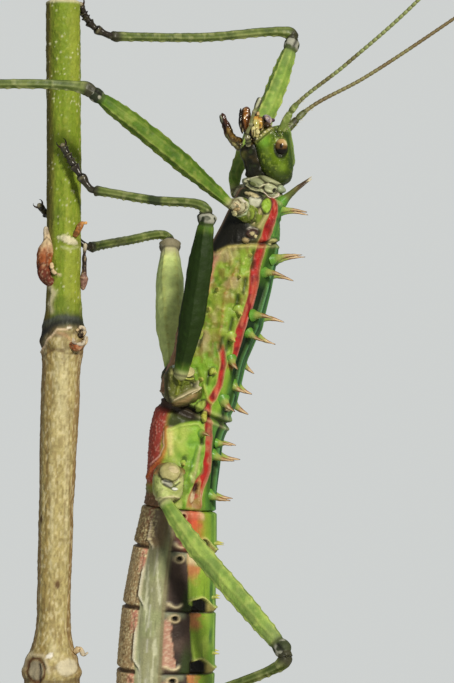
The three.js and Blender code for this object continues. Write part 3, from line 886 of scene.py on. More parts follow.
    def stretch(self, start: float, end: float, around: int, along: int) -> Tube:
        """One closed length of the trunk.

        Args:
            start: the distance along the trunk where it starts.
            end: the distance where it ends.
            around: faces round it.
            along: faces along it.

        Returns:
            Its tube, with rounded ends.
        """
        tube = Tube(around, along)
        s = start + (end - start) * tube.share
        places, out, _ = self.surface(s, tube.angle)
        centre = self.line.frames(s / self.length, (1, 0, 0))[0]
        skin = Skin(s, np.degrees(tube.angle), places)
        return tube.lay(skin, centre, places - centre, out, domed(s - start, end - s, 0.5))

    def thorax(self, skin: Skin) -> None:
        """The skin of the three rings of the thorax.

        Args:
            skin: the skin that it changes.
        """
        s, place = skin.share, skin.place
        a = np.abs(skin.angle)
        girth = self.girth
        skin.paint(LEAF)
        paint, shape = skin.paint, skin.shape
        cloud = drift(place, 1.6, 1)
        small = drift(place, 0.7, 6)
        streak = drift(place, (0.5, 0.5, 3.2), 2)
        crease = drift(place, (0.42, 0.42, 0.9), 7)
        fold = 1.3 * ripple(s, 2, 3)
        beads = knobs(place, 0.5, 0.4, 4)
        dots = knobs(place, 0.4, 0.62, 5)
        middle = band(s, 4, 27.2, 0.2)
        rear = ease(27.2, 27.8, s)
        ahead = place[:, 2] - read(self.neck_edge, place[:, 0]) + 0.06 * drift(place, 0.5, 8)
        front = ease(-0.08, 0.08, ahead) * (s < 12)
        middle = middle * (1 - front)
        # the flanks
        flank = ease(44, 58, a) * ease(118, 104, a)
        skin.layer(middle * flank, (0x9C9C40, 0.5 + 0.4 * cloud), (0x527418, ease(0, 0.6, -small) * 0.75),
            (0x78A62C, ease(18, 22, s) * 0.7),
            (SAND, ease(70, 80, a) * ease(0, 0.6, cloud + small * 0.4) * ease(23, 19, s) * 0.8),
            (0x826A34, ease(0.15, 0.6, crease) * ease(24, 20, s) * 0.6))
        skin.layer(rear * flank, (0x86B03A, 0.7 + 0.3 * cloud), (0x5C8C28, ease(0, 0.6, -small) * 0.6),
            (0xBABE60, ease(78, 96, a + 10 * small) * 0.55),
            (0x547022, ease(32.5, 35, s) * ease(0, 0.4, crease + 0.5 * small) * 0.6),
            (0xBEBE78, ease(32.5, 35, s) * ease(0, 0.4, -crease) * 0.45))
        specks = (middle * (1 - 0.8 * ease(17, 20, s)) + rear * 0.3) * flank * beads
        shape(0.13, specks, 0xCCCC7A, 0.6)
        skin.height += (0.12 * cloud + 0.1 * small + (0.08 + 0.12 * ease(32, 35, s)) * crease
            + 0.06 * streak) * flank
        # painted shadow of the mid coxa across the top of the hind ring
        coxa_shadow_line = place[:, 2] - read((2.3, 79.9, 3.7, 80.5, 5.2, 80.8, 6.2, 80.75), place[:, 0])
        paint(0x242A12, rear * flank * ease(0.1, 0.45, coxa_shadow_line) * band(place[:, 0], 1.4, 6.3, 0.3) * 0.92)
        # the underside, with a beaded edge
        under = ease(108, 120, a + fold * 2)
        skin.layer(middle * under, (0xA06C54, 0.9), (0x886A48, ease(0, 0.6, cloud) * 0.7))
        paint(0x9E3032, rear * under * ease(37.5, 36, s) * 0.95)
        paint(BROWN, ease(36.5, 38, s) * under)
        shape(0.1, (middle + rear) * under * dots, 0xCE9684, 0.6)
        skin.height += middle * under * (0.12 * cloud + 0.08 * streak)
        paint(0x6E4A38, middle * under * ease(0.1, 0.6, crease) * 0.6)
        shape(-0.2, middle * hump((180 - a) * girth, 0.2), 0x54342C, 0.6)
        grit = knobs(place, 0.28, 0.6, 9)
        shape(0.07, rear * under * grit, 0xDEB0A0, 0.5)
        edge = hump((a - 114 - fold) * girth, 0.3)
        shape(0.22, middle * edge * (0.7 + 0.6 * beads), 0xCE9E80, 0.75)
        # the fore ring: dark underneath as painted shadow of the coxa and femur, with a painted highlight
        # along its lower rim, plates on the flank, a shield above
        skin.layer(front, (0x928854, band(a, 60, 92, 5) * 0.8), (0x1E1C18, ease(84, 94, a) * 0.97),
            (0x141210, ease(4, 4.8, s) * ease(66, 76, a) * 0.85), (0x9E7A58, hump(a - 158, 8) * 0.8))
        paint(0x962828, middle * ease(-0.8, -0.2, ahead) * ease(128, 140, a) * 0.9)
        shield = front * ease(68, 64, a)
        shape(0.18, shield * band(s, 0.3, 5.6, 0.2))
        skin.layer(shield, (0x4C8038, 0.85), (0x749E46, ease(0, 0.6, cloud + 0.4 * small) * 0.7),
            (0x2C5C2C, ease(0, 0.6, -small) * 0.6))
        shape(0.07, shield * knobs(place, 0.34, 0.4, 14), 0x96B260, 0.4)
        skin.height += shield * (0.08 * small + 0.06 * crease)
        paint(0xA0AC62, shield * (ease(4.7, 5.3, s) + hump(s - 0.4, 0.4)) * 0.8)
        shape(-0.2, hump(s - 2.6, 0.25) * shield * 0.6, DEEP, 0.6)
        # above: a keel with pale folds beside it, the fold next to the keel partly a painted highlight, and
        # dark bands of painted shade
        above = (middle + rear) * ease(44, 34, a)
        paint(0x30541A, (middle + rear) * ease(54, 40, a) * 0.92)
        paint(0x60963E, (middle + rear) * ease(50, 40, a) * ease(0, 0.6, cloud) * 0.5)
        deep = middle * ease(10, 12, s) * ease(23, 21, s) + rear * ease(38, 36.5, s)
        shaded_hollow = band(a, 17, 41 - 10 * rear, 4) * np.clip(deep + 0.4 * above, 0, 1)
        shape(-0.34, shaded_hollow, 0x0E1E12, 0.92)
        shape(0.2, above * hump((a - 13) * girth, 0.12), 0x5C9264, 0.8)
        paint(0x1E4228, above * ease(12, 7, a) * 0.85)
        shape(0.14, above * hump(a * girth, 0.14), 0x608C5C, 0.4)
        # the red stripes
        for path, first, last, half in (
            (self.upper_stripe, 0.2, 21.2, 0.6), (self.lower_stripe, 19.2, 38.8, 0.46),
        ):
            wide = half * (1 + 0.7 * ease(32, 36, s)) * (1 - 0.3 * ease(12, 20, s) * (1 - rear))
            across = (a - read(path, s)) * girth + 0.1 * streak + 0.05 * small
            reach = band(s, first, last, 0.6)
            inside = band(across / wide, -1, 1, 0.3)
            paint(0xCC9668, band(across, wide - 0.02, wide + 0.14, 0.1) * reach * 0.7)
            paint(0xC87C70, band(across, -wide - 0.14, -wide + 0.06, 0.1) * reach * 0.8)
            skin.layer(inside * reach, (0xA82822, 1), (0x6E1A20, ease(-0.1, 0.5, small) * 0.75),
                (0xCE7658, ease(0.2, 0.6, streak + 0.4 * crease) * 0.55),
                (0xB87658, rear * ease(-0.2, 0.3, cloud + 0.6 * small) * 0.7),
                (0x968C46, ease(32, 35, s) * ease(0, 0.5, streak + small) * 0.7))
            shape(-0.2, inside * reach)
            shape(0.14, hump(np.abs(across) - wide - 0.16, 0.13) * reach)
        beaded = hump((a - read(self.lower_stripe, s)) * girth, 0.2) * band(s, 9, 19.4, 0.6)
        shape(0.18, beaded * (0.5 + 0.7 * dots), 0x9E7038, 0.8)
        # joints between the rings, with painted shade in the gap between the middle and hind rings
        neck = hump(ahead, 0.2) * (s < 12) * (1 - 0.75 * ease(84, 100, a))
        shape(-0.4, neck, SHADOW, 0.85)
        shape(0.14, hump(ahead + 0.4, 0.2) * (s < 12), 0xC4BC82, 0.4)
        shape(-0.5, hump(s - 27.35, 0.24), SHADOW, 0.85)
        shape(0.13, hump(s - 26.85, 0.2) + hump(s - 27.85, 0.2), CREAM, 0.25)
        shape(-0.4, band(s, 27, 28.6, 0.3) * ease(70, 84, a), 0x2C221A, 0.95)
        skin.wear(self.shadows, ease(30, 44, a))
        skin.wear((*self.folds, *self.neck_plates), ease(8, 20, a) * ease(172, 160, a))
        skin.gloss = 0.15 * above + 0.3 * ease(0.3, 0.7, cloud)

    def abdomen(self, skin: Skin) -> None:
        """The skin of the rings of the abdomen.

        Args:
            skin: the skin that it changes.
        """
        s, place = skin.share, skin.place
        a = np.abs(skin.angle)
        size, q = parted(self.segments, s)
        away = (1 - q) * size
        girth = self.girth * 1.14
        cloud = drift(place, 1.7, 11)
        streak = drift(place, (0.34, 0.34, 4), 12)
        small = drift(place, 0.5, 19)
        fine = np.maximum(knobs(place, 0.33, 0.95, 13), knobs(place + 0.17, 0.33, 0.95, 16))
        sides = ease(92, 80, s)
        skin.paint(0x969670)
        paint, shape = skin.paint, skin.shape
        # the soft flank, finely striped along its length
        soft = band(a, 95, 124, 1.5)
        skin.layer(soft, (0x808062, ease(0, 0.6, streak) * 0.55), (0xB0B298, ease(0.1, 0.7, -streak) * 0.5),
            (0x96A06E, ease(0, 0.8, cloud) * 0.5),
            (0xCECEB0, ease(0.3, 0.5, drift(place, (0.26, 0.26, 3), 24)) * 0.6),
            (0x606242, ease(0.35, 0.6, drift(place, (0.26, 0.26, 3), 25)) * 0.5))
        skin.height += 0.05 * streak * soft + 0.1 * hump(a - 109, 12) * sides
        pale = hump((a - 109) * girth, 0.12) * ease(0, 0.3, drift(place, (3, 3, 1), 14))
        paint(SILVER, pale * 0.5)
        # painted shadow of the hind femur over the front of the soft flank
        paint(0x54503A, soft * ease(50, 44.3, s + 4 * ease(112, 96, a)) * 0.8)
        # the underside plates, grainy, with a silvery ridge beside them
        plate = ease(124, 127, a)
        skin.layer(plate, (0xCC8E76, ease(0.6, 0.25, q)),
            (0xB69A70, np.maximum(ease(0.25, 0.6, q), ease(134, 140, a))))
        pits = ease(0.1, 0.5, drift(place, 0.22, 17))
        paint(0x705232, plate * pits * 0.7)
        shape(0.08, plate * fine, 0xEEE2B2, 0.9)
        skin.height += 0.1 * plate
        seam = plate * ease(0.6, 0.28, away)
        shape(-0.42, seam, 0x483222, 0.9)
        ridge = hump((a - 126 + 9 * ease(0.75, 0.95, q) - 4 * ease(0.2, 0, q)) * girth, 0.11)
        shape(0.34, ridge * band(q, 0.3, 0.93, 0.12) * sides, 0xE2DEC8, 0.9)
        paint(0x68543E, hump((a - 130.5) * girth, 0.12) * band(q, 0.1, 0.9, 0.05) * 0.7)
        # the strip of breathing holes: dark plum, partly as painted shade, with a painted shadow of the green
        # plates' overhang along its upper part
        ahead = ease(51.4, 50.4, s)
        edge = 67 + 8 * ahead - 8 * q - (8 + 8 * ahead) * ease(0.84, 0.97, q) + 1.5 * cloud
        strip = band(a, 60, 92, 1.2) * sides
        shape(-0.2, strip, 0x4A3632, 0.95)
        skin.layer(1, (0x281E1A, strip * ease(-0.2, 0.5, cloud) * 0.7),
            (0x2C3C16, band(a, 60, 78 - 10 * (1 - q), 5) * ease(0.35, 0.75, q) * sides * 0.9),
            (0x888C70, strip * ease(0.14, 0.04, q) * ease(68, 74, a) * 0.8))
        side = ease(0.94, 0.86, q) * ease(0.1, 0.16, q) * (1 - ahead)
        border = band(a, 87.5 - 9 * q**2 + 2 * small, 92.5, 1) * side * sides
        shape(0.16, border, 0xBC8C76, 0.9)
        shape(0.08, border * fine, 0xE0CEB0, 0.6)
        hook = np.abs(np.hypot((away - 1.15) / 0.55, (a - 84) * girth / 0.55) - 1)
        shape(0.26, hump(hook, 0.3) * ease(1.3, 0.9, away) * sides, 0xD6C8A0, 0.9)
        shape(-0.16, hump((a - 94) * girth, 0.1), 0x664E36, 0.7)
        # the green plates above
        top = ease(edge + 1, edge - 1, a)
        skin.layer(top, (0x82A032, 1), (0xA6BC4E, ease(0, 0.7, cloud) * 0.7),
            (0x5C8E32, ease(44, 24, a) * 0.6))
        shape(0.14, top)
        warm = ease(edge - 22, edge - 8, a + 8 * small) * ease(0.5, 0.3,
            q + 0.12 * cloud + 0.16 * (1 - ahead))
        paint(0xBE704C, top * warm * 0.85)
        crown = ease(0.24, 0.12, q) * band(a, edge - 24, edge, 4) * ahead * sides
        shape(0.1, crown, 0xD6C89C, 0.8)
        paint(0xA8BE54, hump((a - edge + 2) * girth, 0.1) * ease(0.3, 0.6, q) * sides * 0.7)
        shape(-0.1, hump((a - 45 - 3 * cloud) * girth, 0.09) * ease(0.35, 0.8, q) * top, DEEP, 0.75)
        shape(0.1, hump(a * girth, 0.16) * top, PALE_LINE, 0.4)
        shape(0.08, hump((a - 16) * girth, 0.16) * top, 0xB4CE78, 0.5)
        dark_fold = band(a, 19, 30, 3) * top * ease(-0.3, 0.4, drift(place, 2.4, 15))
        shape(-0.12, dark_fold, TEAL, 0.6)
        # the raised rear edge of each green plate, with painted shade in the gap just behind it, and the
        # joint behind it
        lip = away - read((0, 0.5, 18, 0.6, 34, 1.25, 44, 1.75, 50, 1.85, 56, 1.7, 75, 1.2), a)
        paint(0x96844C, band(-lip, 0, 2.4, 0.1) * ease(62, 60, a) * 0.85)
        shape(-0.4, band(-lip, 0.02, 2.4, 0.1) * band(a, 36, 63, 3) * sides, 0x020200, 1)
        shape(0.28, hump(lip - 0.12, 0.15) * top * sides, 0xCED07C, 0.9)
        shape(-0.34, hump(away, 0.16) * ease(96, 90, a), SHADOW, 0.85)
        shape(-0.1, hump(q * size, 0.14) * ease(96, 90, a))
        # each ring's breathing hole
        d = np.hypot(q * size - 0.75, (a - 84) * girth)
        shape(0.22, hump(d - 0.42, 0.14) * sides, 0xC4B28A, 0.9)
        shape(-0.5, ease(0.34, 0.16, d) * sides, BLACK, 0.95)
        # the first ring joins the thorax: redder, and browner beneath
        first = ease(44.4, 43.4, s)
        skin.layer(first, (0xCE4A34, hump(a - 68, 14) * 0.8), (BROWN, ease(92, 110, a) * 0.6))
        shape(0.08, first * ease(112, 122, a) * fine, CREAM, 0.6)
        skin.gloss = (0.2 * top + 0.35 * soft) * ease(0, 0.4, lip)

    def spike(self, spine: Spine, side: Side) -> BMesh:
        """One spine on a swollen foot.

        Args:
            spine: its place and sizes.
            side: the side that it stands on.

        Returns:
            Its bmesh.
        """
        angle = math.radians(spine.angle) * -side.value
        at, radius, length = np.array([spine.at]), spine.radius, spine.length
        place, _, run = self.surface(at, np.array([angle]))
        turn = math.radians(float(read(self.roll, at)[0]))
        towards = np.array([math.cos(turn), math.sin(turn), 0])
        _, _, across, up = self.line.frames(at / self.length, towards)
        out = up[0] * math.cos(angle * 0.8) + across[0] * math.sin(angle * 0.8) - run[0] * spine.lean
        out /= np.linalg.norm(out)
        foot = place[0] - out * radius * 0.9
        tip = place[0] + out * length
        middle = (foot + tip) / 2 - run[0] * 0.05 * length * math.copysign(1, spine.lean + 0.01)
        reach = length + radius * 0.9
        stops = (
            0, radius * 1.75, 0.09, radius * 1.4, 0.2, radius * 0.98, 0.34, radius * 0.7, 0.7, radius * 0.36,
            0.94, radius * 0.14, 1, 0.03,
        )
        long = length > 1.5
        tube = rod([foot, middle, tip], stops, 14, max(12, int(reach * 9)), -run[0], 0.012)
        skin = tube.skin
        # green at the foot, brown along the shaft, pale and then dark at the tip
        share, place = skin.share, skin.place
        base = 0x609432 if long else 0x96B242
        skin.paint(base)
        skin.paint(0xA6AC58, ease(0.12, 0.3, share) * 0.75)
        horn = 0xA07042 if long else 0xC8C468
        skin.paint(horn, ease(0.36, 0.6, share + 0.1 * drift(place, 0.5, 21)))
        streak = np.cos(np.radians(2 * skin.angle)) + 0.4 * drift(place, 0.4, 23)
        skin.layer(1, (0x5C3224, ease(0.4, 0.7, share) * ease(0.2, 0.8, streak) * long * 0.8),
            (0xE2CCA2, ease(0.3, 0.7, share) * ease(0.2, 0.8, -streak) * long * 0.8),
            (0x462418, ease(0.93, 0.98, share) * 0.9))
        if spine.at < 0.5:
            skin.layer(1, (0x3A3E18, ease(0.1, 0.3, share) * 0.75), (0x3C281E, ease(0.5, 0.7, share) * 0.8),
                (0xD6C8A0, ease(0.82, 0.9, share + 0.05 * streak) * 0.9))
        skin.height += 0.03 * drift(place, (0.3, 0.3, 0.9), 22)
        skin.gloss += 0.4
        return tube.mesh()

    def build(self) -> None:
        """Makes the trunk's pieces."""
        finish = Cuticle("trunk_cuticle").make()
        nodes = ["prothorax", "mesothorax", "metathorax"]
        spikes = [self.spike(spine, side) for spine in (*self.spines, *self.tubercles) for side in Side]
        front = [self.stretch(0.15, self.waist + 0.25, 236, 320).mesh(self.thorax), *spikes]
        dress(joined(front), "thorax_skin", finish, "trunk_cuticle", *nodes)
        rear = self.stretch(self.waist - 0.25, self.length, 228, 400).mesh(self.abdomen)
        rings = [f"abdomen_{number}" for number in range(2, 11)]
        dress(rear, "abdomen_skin", finish, "trunk_cuticle", *rings)


# ---- the head


@dataclass
class Head:
    """The head capsule, its eyes, the neck, the mouthparts and the antennae."""

    line: Line = field(default_factory=lambda: Line([
        (15.93, 109.28), (15.42, 111.18), (14.95, 113.58), (14.1, 116.25),
    ]))
    back: Stops = (
        0, 0.8, 0.02, 0.95, 0.05, 1.13, 0.1, 1.43, 0.2, 1.75, 0.3, 1.96, 0.4, 2.06, 0.5, 2.11, 0.6, 2.17, 0.7,
        2.25, 0.8, 2.37, 0.9, 2.35, 0.95, 2.2, 1, 1.9,
    )
    face: Stops = (
        0, 0.3, 0.02, 0.45, 0.05, 0.7, 0.1, 1.05, 0.2, 1.55, 0.3, 1.9, 0.4, 2.16, 0.5, 2.28, 0.6, 2.29, 0.7,
        2.23, 0.8, 2.08, 0.9, 1.84, 0.95, 1.6, 1, 1.2,
    )
    width: Stops = (
        0, 0.8, 0.03, 1.15, 0.08, 1.55, 0.15, 1.9, 0.35, 2.3, 0.55, 2.35, 0.75, 2.2, 0.88, 1.95, 0.96, 1.7, 1,
        1.45,
    )
    eye_place: tuple[float, float] = (15.76, 113.86)
    eye_radii: Point = (0.75, 0.7, 0.99)
    eye_out: float = 2.1
    eye_lean: float = 4
    folds: Relief = relief(
        ((16.54, 115.9, 16.86, 115.44, 17.32, 111.43), 0.08, 0.14, 0x96B06E, 0.9),
        # painted shade between the eye and the crown
        ((16.41, 115.52, 16.71, 114.84, 17.1, 111.43), 0.34, -0.1, 0x2C420E, 0.85),
        ((15.05, 116.46, 15.9, 115.18), 0.13, 0.14, 0x7A8842, 0.8),
        ((14.8, 116.29, 15.61, 115.01), 0.12, -0.12, 0x28360E, 0.8),
        ((15.9, 115.52, 16.33, 114.67), 0.12, -0.1, 0x262C0E, 0.8),
        ((12.71, 114.6, 14.5, 116.13), 0.36, 0.24, 0xA8A460, 0.95),
        ((12.92, 114.41, 14.71, 115.95), 0.09, -0.12, 0x384814, 0.85),
        ((12.5, 114.75, 14.29, 116.36), 0.1, -0.14, 0x2E2612, 0.85),
    )
    plates: Relief = relief(
        (13.01, 114.92, 0.17, 0.15, 0, 0.1, 0xD6D0A0, 0x5A542C, 0.5),
        (13.43, 115.27, 0.17, 0.15, 0, 0.1, 0xCEC896, 0x5A542C, 0.5),
        (13.84, 115.65, 0.17, 0.15, 0, 0.1, 0xD6D0A0, 0x5A542C, 0.5),
        (14.24, 115.96, 0.17, 0.15, 0, 0.1, 0xCEC896, 0x5A542C, 0.5),
        (15.73, 116.03, 0.5, 0.34, 40, 0.16, 0x687632, 0x222810, 0.7),
    )
    collar: Relief = relief(
        (11.56, 110.07, 0.55, 0.5, -10, 0.3, 0xA0A880, 0x3E3C26, 0.5),
        (12.84, 109.6, 1, 0.6, -24, 0.36, 0x969C74, 0x3E3C26),
        (12.5, 109.43, 0.5, 0.22, -20, 0.1, 0x606838, 0xAAB082, 0.4),
        (14.46, 108.88, 0.85, 0.6, -14, 0.4, 0xB0B48C, 0x3E3C26),
        (15.73, 108.84, 0.5, 0.52, 10, 0.34, 0x9AA684, 0x343822),
        (14.88, 108.62, 0.27, 0.3, 0, -0.4, 0x14100C, 0xC8C4AA, 0.7),
        ((11.64, 109.77, 12.16, 110.16, 12.92, 110.37), 0.1, 0.2, 0xE0DEBA),
        ((11.6, 109.3, 12.07, 108.84, 13.6, 108.37), 0.1, 0.16, 0xCECCA0),
        ((13.18, 108.96, 13.69, 109.3, 14.2, 109.43), 0.09, 0.18, 0xDCD8B0),
        ((11.13, 109.39, 12.24, 108.49, 13.18, 108.2), 0.13, -0.3, 0x302818),
        ((13.18, 108.37, 14.2, 107.6, 14.97, 107.51), 0.14, -0.24, 0x342C16),
        ((13.69, 108.37, 14.11, 107.94, 14.71, 107.7, 15.22, 107.94, 15.43, 108.32), 0.09, 0.26, 0xECD6C8),
    )

    def cranium(self) -> BMesh:
        """The capsule, which is deeper towards the face than towards the crown.

        Returns:
            Its bmesh.
        """
        tube = Tube(240, 240)
        share, angle = tube.share, tube.angle
        spot, _, across, up = self.line.frames(share, (1, 0, 0))
        high = np.where(np.cos(angle) < 0, read(self.face, share), read(self.back, share))
        ring = across * (boxed(np.sin(angle), 0.9) * read(self.width, share))[:, None]
        ring = ring + up * (boxed(np.cos(angle), 0.9) * high)[:, None]
        skin = Skin(share, np.degrees(angle), spot + ring)
        out = across * np.sin(angle)[:, None] + up * np.cos(angle)[:, None]
        return tube.lay(skin, spot, ring, out, domed(share, 1 - share, 0.05)).mesh(self.capsule)

    def capsule(self, skin: Skin) -> None:
        """The skin of the head capsule.

        Args:
            skin: the skin that it changes.
        """
        share, place = skin.share, skin.place
        a = np.abs(skin.angle)
        cloud = drift(place, 1.1, 31)
        patch = drift(place, 0.36, 32)
        skin.paint(0x465A10)
        paint, shape = skin.paint, skin.shape
        skin.layer(1, (0x647C16, ease(0, 0.6, cloud) * 0.8), (0x3E4E12, ease(0.1, 0.6, -cloud) * 0.7),
            (0xA0B240, ease(0.3, 0.7, patch) * 0.4), (0x3A4E16, ease(0.35, 0.7, -patch) * 0.4))
        skin.height += 0.03 * cloud + 0.02 * patch
        grit = knobs(place, 0.24, 0.5, 33)
        shape(0.025, grit, 0x9EAC4C, 0.3)
        sides = ease(12, 26, a) * ease(168, 150, a)
        paint(0x78AC2C, hump(np.hypot(place[:, 0] - 13.66, place[:, 2] - 114.6) - 0.2, 0.6) * sides * 0.85)
        paint(0x82A028, hump(np.hypot(place[:, 0] - 15.9, place[:, 2] - 111.4) - 0.1, 0.5) * sides * 0.6)
        # painted shade: the cheek darkens towards the throat, and the nape is darker
        throat = place[:, 0] - read((109, 15.6, 109.8, 14.6, 111, 13.6, 112.5, 12.9, 114.3, 12.6),
            place[:, 2])
        paint(0x1C1A0E, ease(0.6, -0.4, throat + 0.2 * cloud))
        paint(0x28340E, ease(0.3, 0.02, share + 0.03 * cloud) * 0.85)
        skin.wear((*self.folds, *self.plates), sides)
        # round the eye: painted shade, and a painted shadow below the eye
        lean = math.radians(self.eye_lean)
        dx, dz = place[:, 0] - self.eye_place[0], place[:, 2] - self.eye_place[1]
        u = (dx * math.cos(lean) - dz * math.sin(lean)) / self.eye_radii[0]
        v = (dz * math.cos(lean) + dx * math.sin(lean)) / self.eye_radii[2]
        reach = np.hypot(u, v)
        near = (a > 40) & (a < 140)
        paint(0x222A0E, hump(reach - 1.12, 0.12) * ease(0.6, 0, v) * near)
        paint(0x16140C, ease(1.08, 0.95, reach) * near * 0.95)
        shadow = np.hypot(u, v + 0.35)
        paint(0x1A200A, hump(np.maximum(shadow - 0.98, 0), 0.16) * ease(0.1, -0.5, v) * near * 0.9)
        paint(0x96A046, hump(reach - 1.16, 0.09) * ease(0, 0.8, v) * near * 0.45)
        # the low crest along the crown
        shape(0.22, hump(a * 0.036, 0.16) * band(share, 0.3, 0.93, 0.06), 0x92AC68, 0.75)
        skin.gloss = 0.6 * ease(1.3, 1.6, reach)

    def eye(self, side: Side) -> BMesh:
        """One eye: tan above with a painted highlight at its upper rear, dark below as painted shade, with a
        dark spot.

        Args:
            side: its side.

        Returns:
            Its bmesh.
        """
        x, z = self.eye_place
        tube = ball((x, self.eye_out * side.value, z), self.eye_radii, self.eye_lean, 40)
        skin, place = tube.skin, tube.skin.place
        skin.paint(0x684A22)
        cloud = drift(place, 0.3, 41)
        level = place[:, 2] - z + 0.1 * cloud
        # a painted highlight at the upper rear, and painted shade below
        skin.layer(1, (0xBE9C64, ease(0.2, 0.62, level + 0.25 * (place[:, 0] - x)) * 0.9),
            (0xE2CEA0, ease(0.3, 0.75, place[:, 0] - x + 0.2 * level) * ease(0.05, 0.4, level) * 0.8),
            (0x100C08, ease(0.02, -0.4, level)))
        spot = np.hypot((place[:, 0] - x) / 0.24, (place[:, 2] - z - 0.04) / 0.3)
        skin.paint(0x160A08, ease(1.1, 0.75, spot))
        skin.gloss += ease(-0.2, 0.3, level)
        return tube.mesh()

    def neck(self, skin: Skin) -> None:
        """The folded soft neck.

        Args:
            skin: the skin that it changes.
        """
        place = skin.place
        skin.paint(0x888C64)
        cloud = drift(place, 0.6, 52)
        across = place[:, 2] + 0.36 * place[:, 0] + 0.3 * drift(place, 1.2, 51)
        wave = np.cos(across * 2 * math.pi / 0.8)
        skin.height += 0.06 * wave + 0.08 * cloud
        skin.layer(1, (0xB8BA94, ease(0, 1, wave) * 0.55), (0x48462A, ease(0.4, 1, -wave) * 0.7),
            (0x687A3C, ease(0.2, 0.6, cloud) * 0.4))
        skin.wear(self.collar)
        skin.gloss += 0.45

    def throat(self, skin: Skin) -> None:
        """The underside, near black as painted shade, with green and brown folds towards the jaws.

        Args:
            skin: the skin that it changes.
        """
        place = skin.place
        wave = drift(place, 0.55, 61)
        skin.height += 0.1 * wave
        # near black as painted shade
        skin.paint(0x1A1A0E)
        skin.layer(1, (0x564622, ease(0.1, 0.6, wave) * ease(0.3, 0.8, skin.share) * 0.7),
            (0x60622E, hump(place[:, 0] - 11, 0.5) * band(place[:, 2], 112.4, 113.4, 0.3) * 0.8),
            (0x34421E, ease(0.2, 0.7, -wave) * 0.5))

    def husk(
        self, tube: Tube, colour: Colour, tip: Colour, seed: float, start: float,
        turn: float = 180, cover: float = 0.9,
    ) -> BMesh:
        """Closes a jaw piece in a ridged, glossy skin that is dark on one side.

        Args:
            tube: the piece's tube.
            colour: its colour.
            tip: its tip's colour.
            seed: picks its grain.
            start: the share of the length at which the tip's colour starts.
            turn: the angle of its dark side in degrees.
            cover: how dark that side is.

        Returns:
            Its bmesh.
        """
        skin = tube.skin
        wave = drift(skin.place, 0.3, seed)
        fibre = drift(skin.place, (0.14, 0.14, 0.5), seed + 0.5)
        skin.paint(colour)
        skin.layer(1, (0x543216, ease(0, 0.5, wave) * 0.6), (0xE2CE96, ease(0.15, 0.6, fibre) * 0.55),
            (0x2C1A0E, ease(0.15, 0.6, -fibre) * 0.6),
            (0x18120C, ease(0.3, 0.75, np.cos(np.radians(skin.angle - turn))) * cover),
            (tip, ease(start, start + 0.2, skin.share + 0.08 * wave)))
        skin.height += 0.09 * wave
        skin.gloss += 0.9
        return tube.mesh()

    def jaws(self) -> list[BMesh]:
        """The throat, the lips and the jaws.

        Returns:
            Their bmeshes.
        """
        black, gold, cream = 0x18120C, 0xC49642, 0xCEC68C
        rust, plum, olive, straw = 0x8E561E, 0x603E36, 0x60622E, 0xBAB268
        under = [(13.1, 0, 109.9), (12.95, 0, 112), (12.35, 0, 113.4), (11.75, 0, 114.5)]
        upper = rod([(12.7, 0, 114.4), (12.75, 0, 116.9)], even(0.85, 0.75), 40, 40, (1, 0, 0), 0.3,
            wide=even(1.2, 0.8))
        lobe = rod([(13.73, -0.2, 117.74), (14.12, 0, 117.29), (14.6, 0.2, 116.92)],
            even(0.36, 0.43, 0.46, 0.44, 0.37), 40, 40, (1, 0, 1), 0.3, wide=even(0.95, 0.95))
        parts = [
            rod(under, even(1.62, 1.52), 64, 60, (1, 0, 0), 0.2, wide=even(1.1, 0.9)).mesh(self.throat),
            self.husk(upper, 0x4A3C1C, black, 62, 0.9),
            self.husk(lobe, 0xB0A0AA, 0x78606E, 63, 0.85, 180, 0.95),
            ball((14.77, 0, 117.2), (0.3, 0.5, 0.24), 0, 20).plain(0x543A46),
            self.husk(ball((14.1, 0, 116.5), (0.7, 1.1, 0.5), 30, 32), 0x3A2E1A, black, 60, 0.95),
            self.husk(ball((13.22, 0, 116.3), (0.7, 1, 0.9), 0, 32), 0x605224, black, 59, 0.95),
        ]
        # foot, middle and tip, half sizes, colour, tip's colour and where it starts, and the dark side
        blades = (
            ((11.75, -1.2, 115.43), (11.58, -1.1, 117.07), (11.6, -0.7, 118.78), (0.42, 0.62, 0.46), rust,
                plum, 0.8, 180),
            ((11.14, -1.5, 115.67), (10.9, -1.5, 117.13), (10.91, -1.1, 118.57), (0.2, 0.2, 0.14), black,
                black, 0.2, 180),
            ((12.86, -1, 115.71), (12.69, -1.2, 116.72), (12.86, -0.9, 117.69), (0.34, 0.5, 0.3), straw, gold,
                0.6, 180),
            ((13.29, -0.9, 116.06), (13.29, -1.1, 116.9), (13.21, -0.9, 117.56), (0.3, 0.42, 0.36), gold,
                gold, 0.9, 0),
            ((12.96, -1.2, 117.66), (12.96, -1.2, 117.92), (13.05, -1.1, 118.17), (0.24, 0.26, 0.16), rust,
                plum, 0.7, 180),
            ((12.52, -1.5, 114.98), (12.43, -1.6, 115.66), (12.51, -1.6, 116.35), (0.3, 0.34, 0.16), olive,
                cream, 0.6, 180),
            ((12.95, -1.4, 114.99), (12.96, -1.6, 115.53), (12.94, -1.6, 116), (0.3, 0.3, 0.2), straw, cream,
                0.5, 0),
            ((12, -1.2, 114.66), (12.17, -1.4, 115.33), (12.22, -1.4, 116.19), (0.3, 0.24, 0.2), black, black,
                0.2, 180),
        )
        for hand in (1, -1):
            for number, (foot, middle, tip, radii, colour, end, start, turn) in enumerate(blades):
                points = [(x, y * hand, z) for x, y, z in (foot, middle, tip)]
                blade = rod(points, even(*radii), 32, 50, (1, 0, 0.2), 0.16, wide=0.8)
                parts.append(self.husk(blade, colour, end, 64 + number, start, turn))
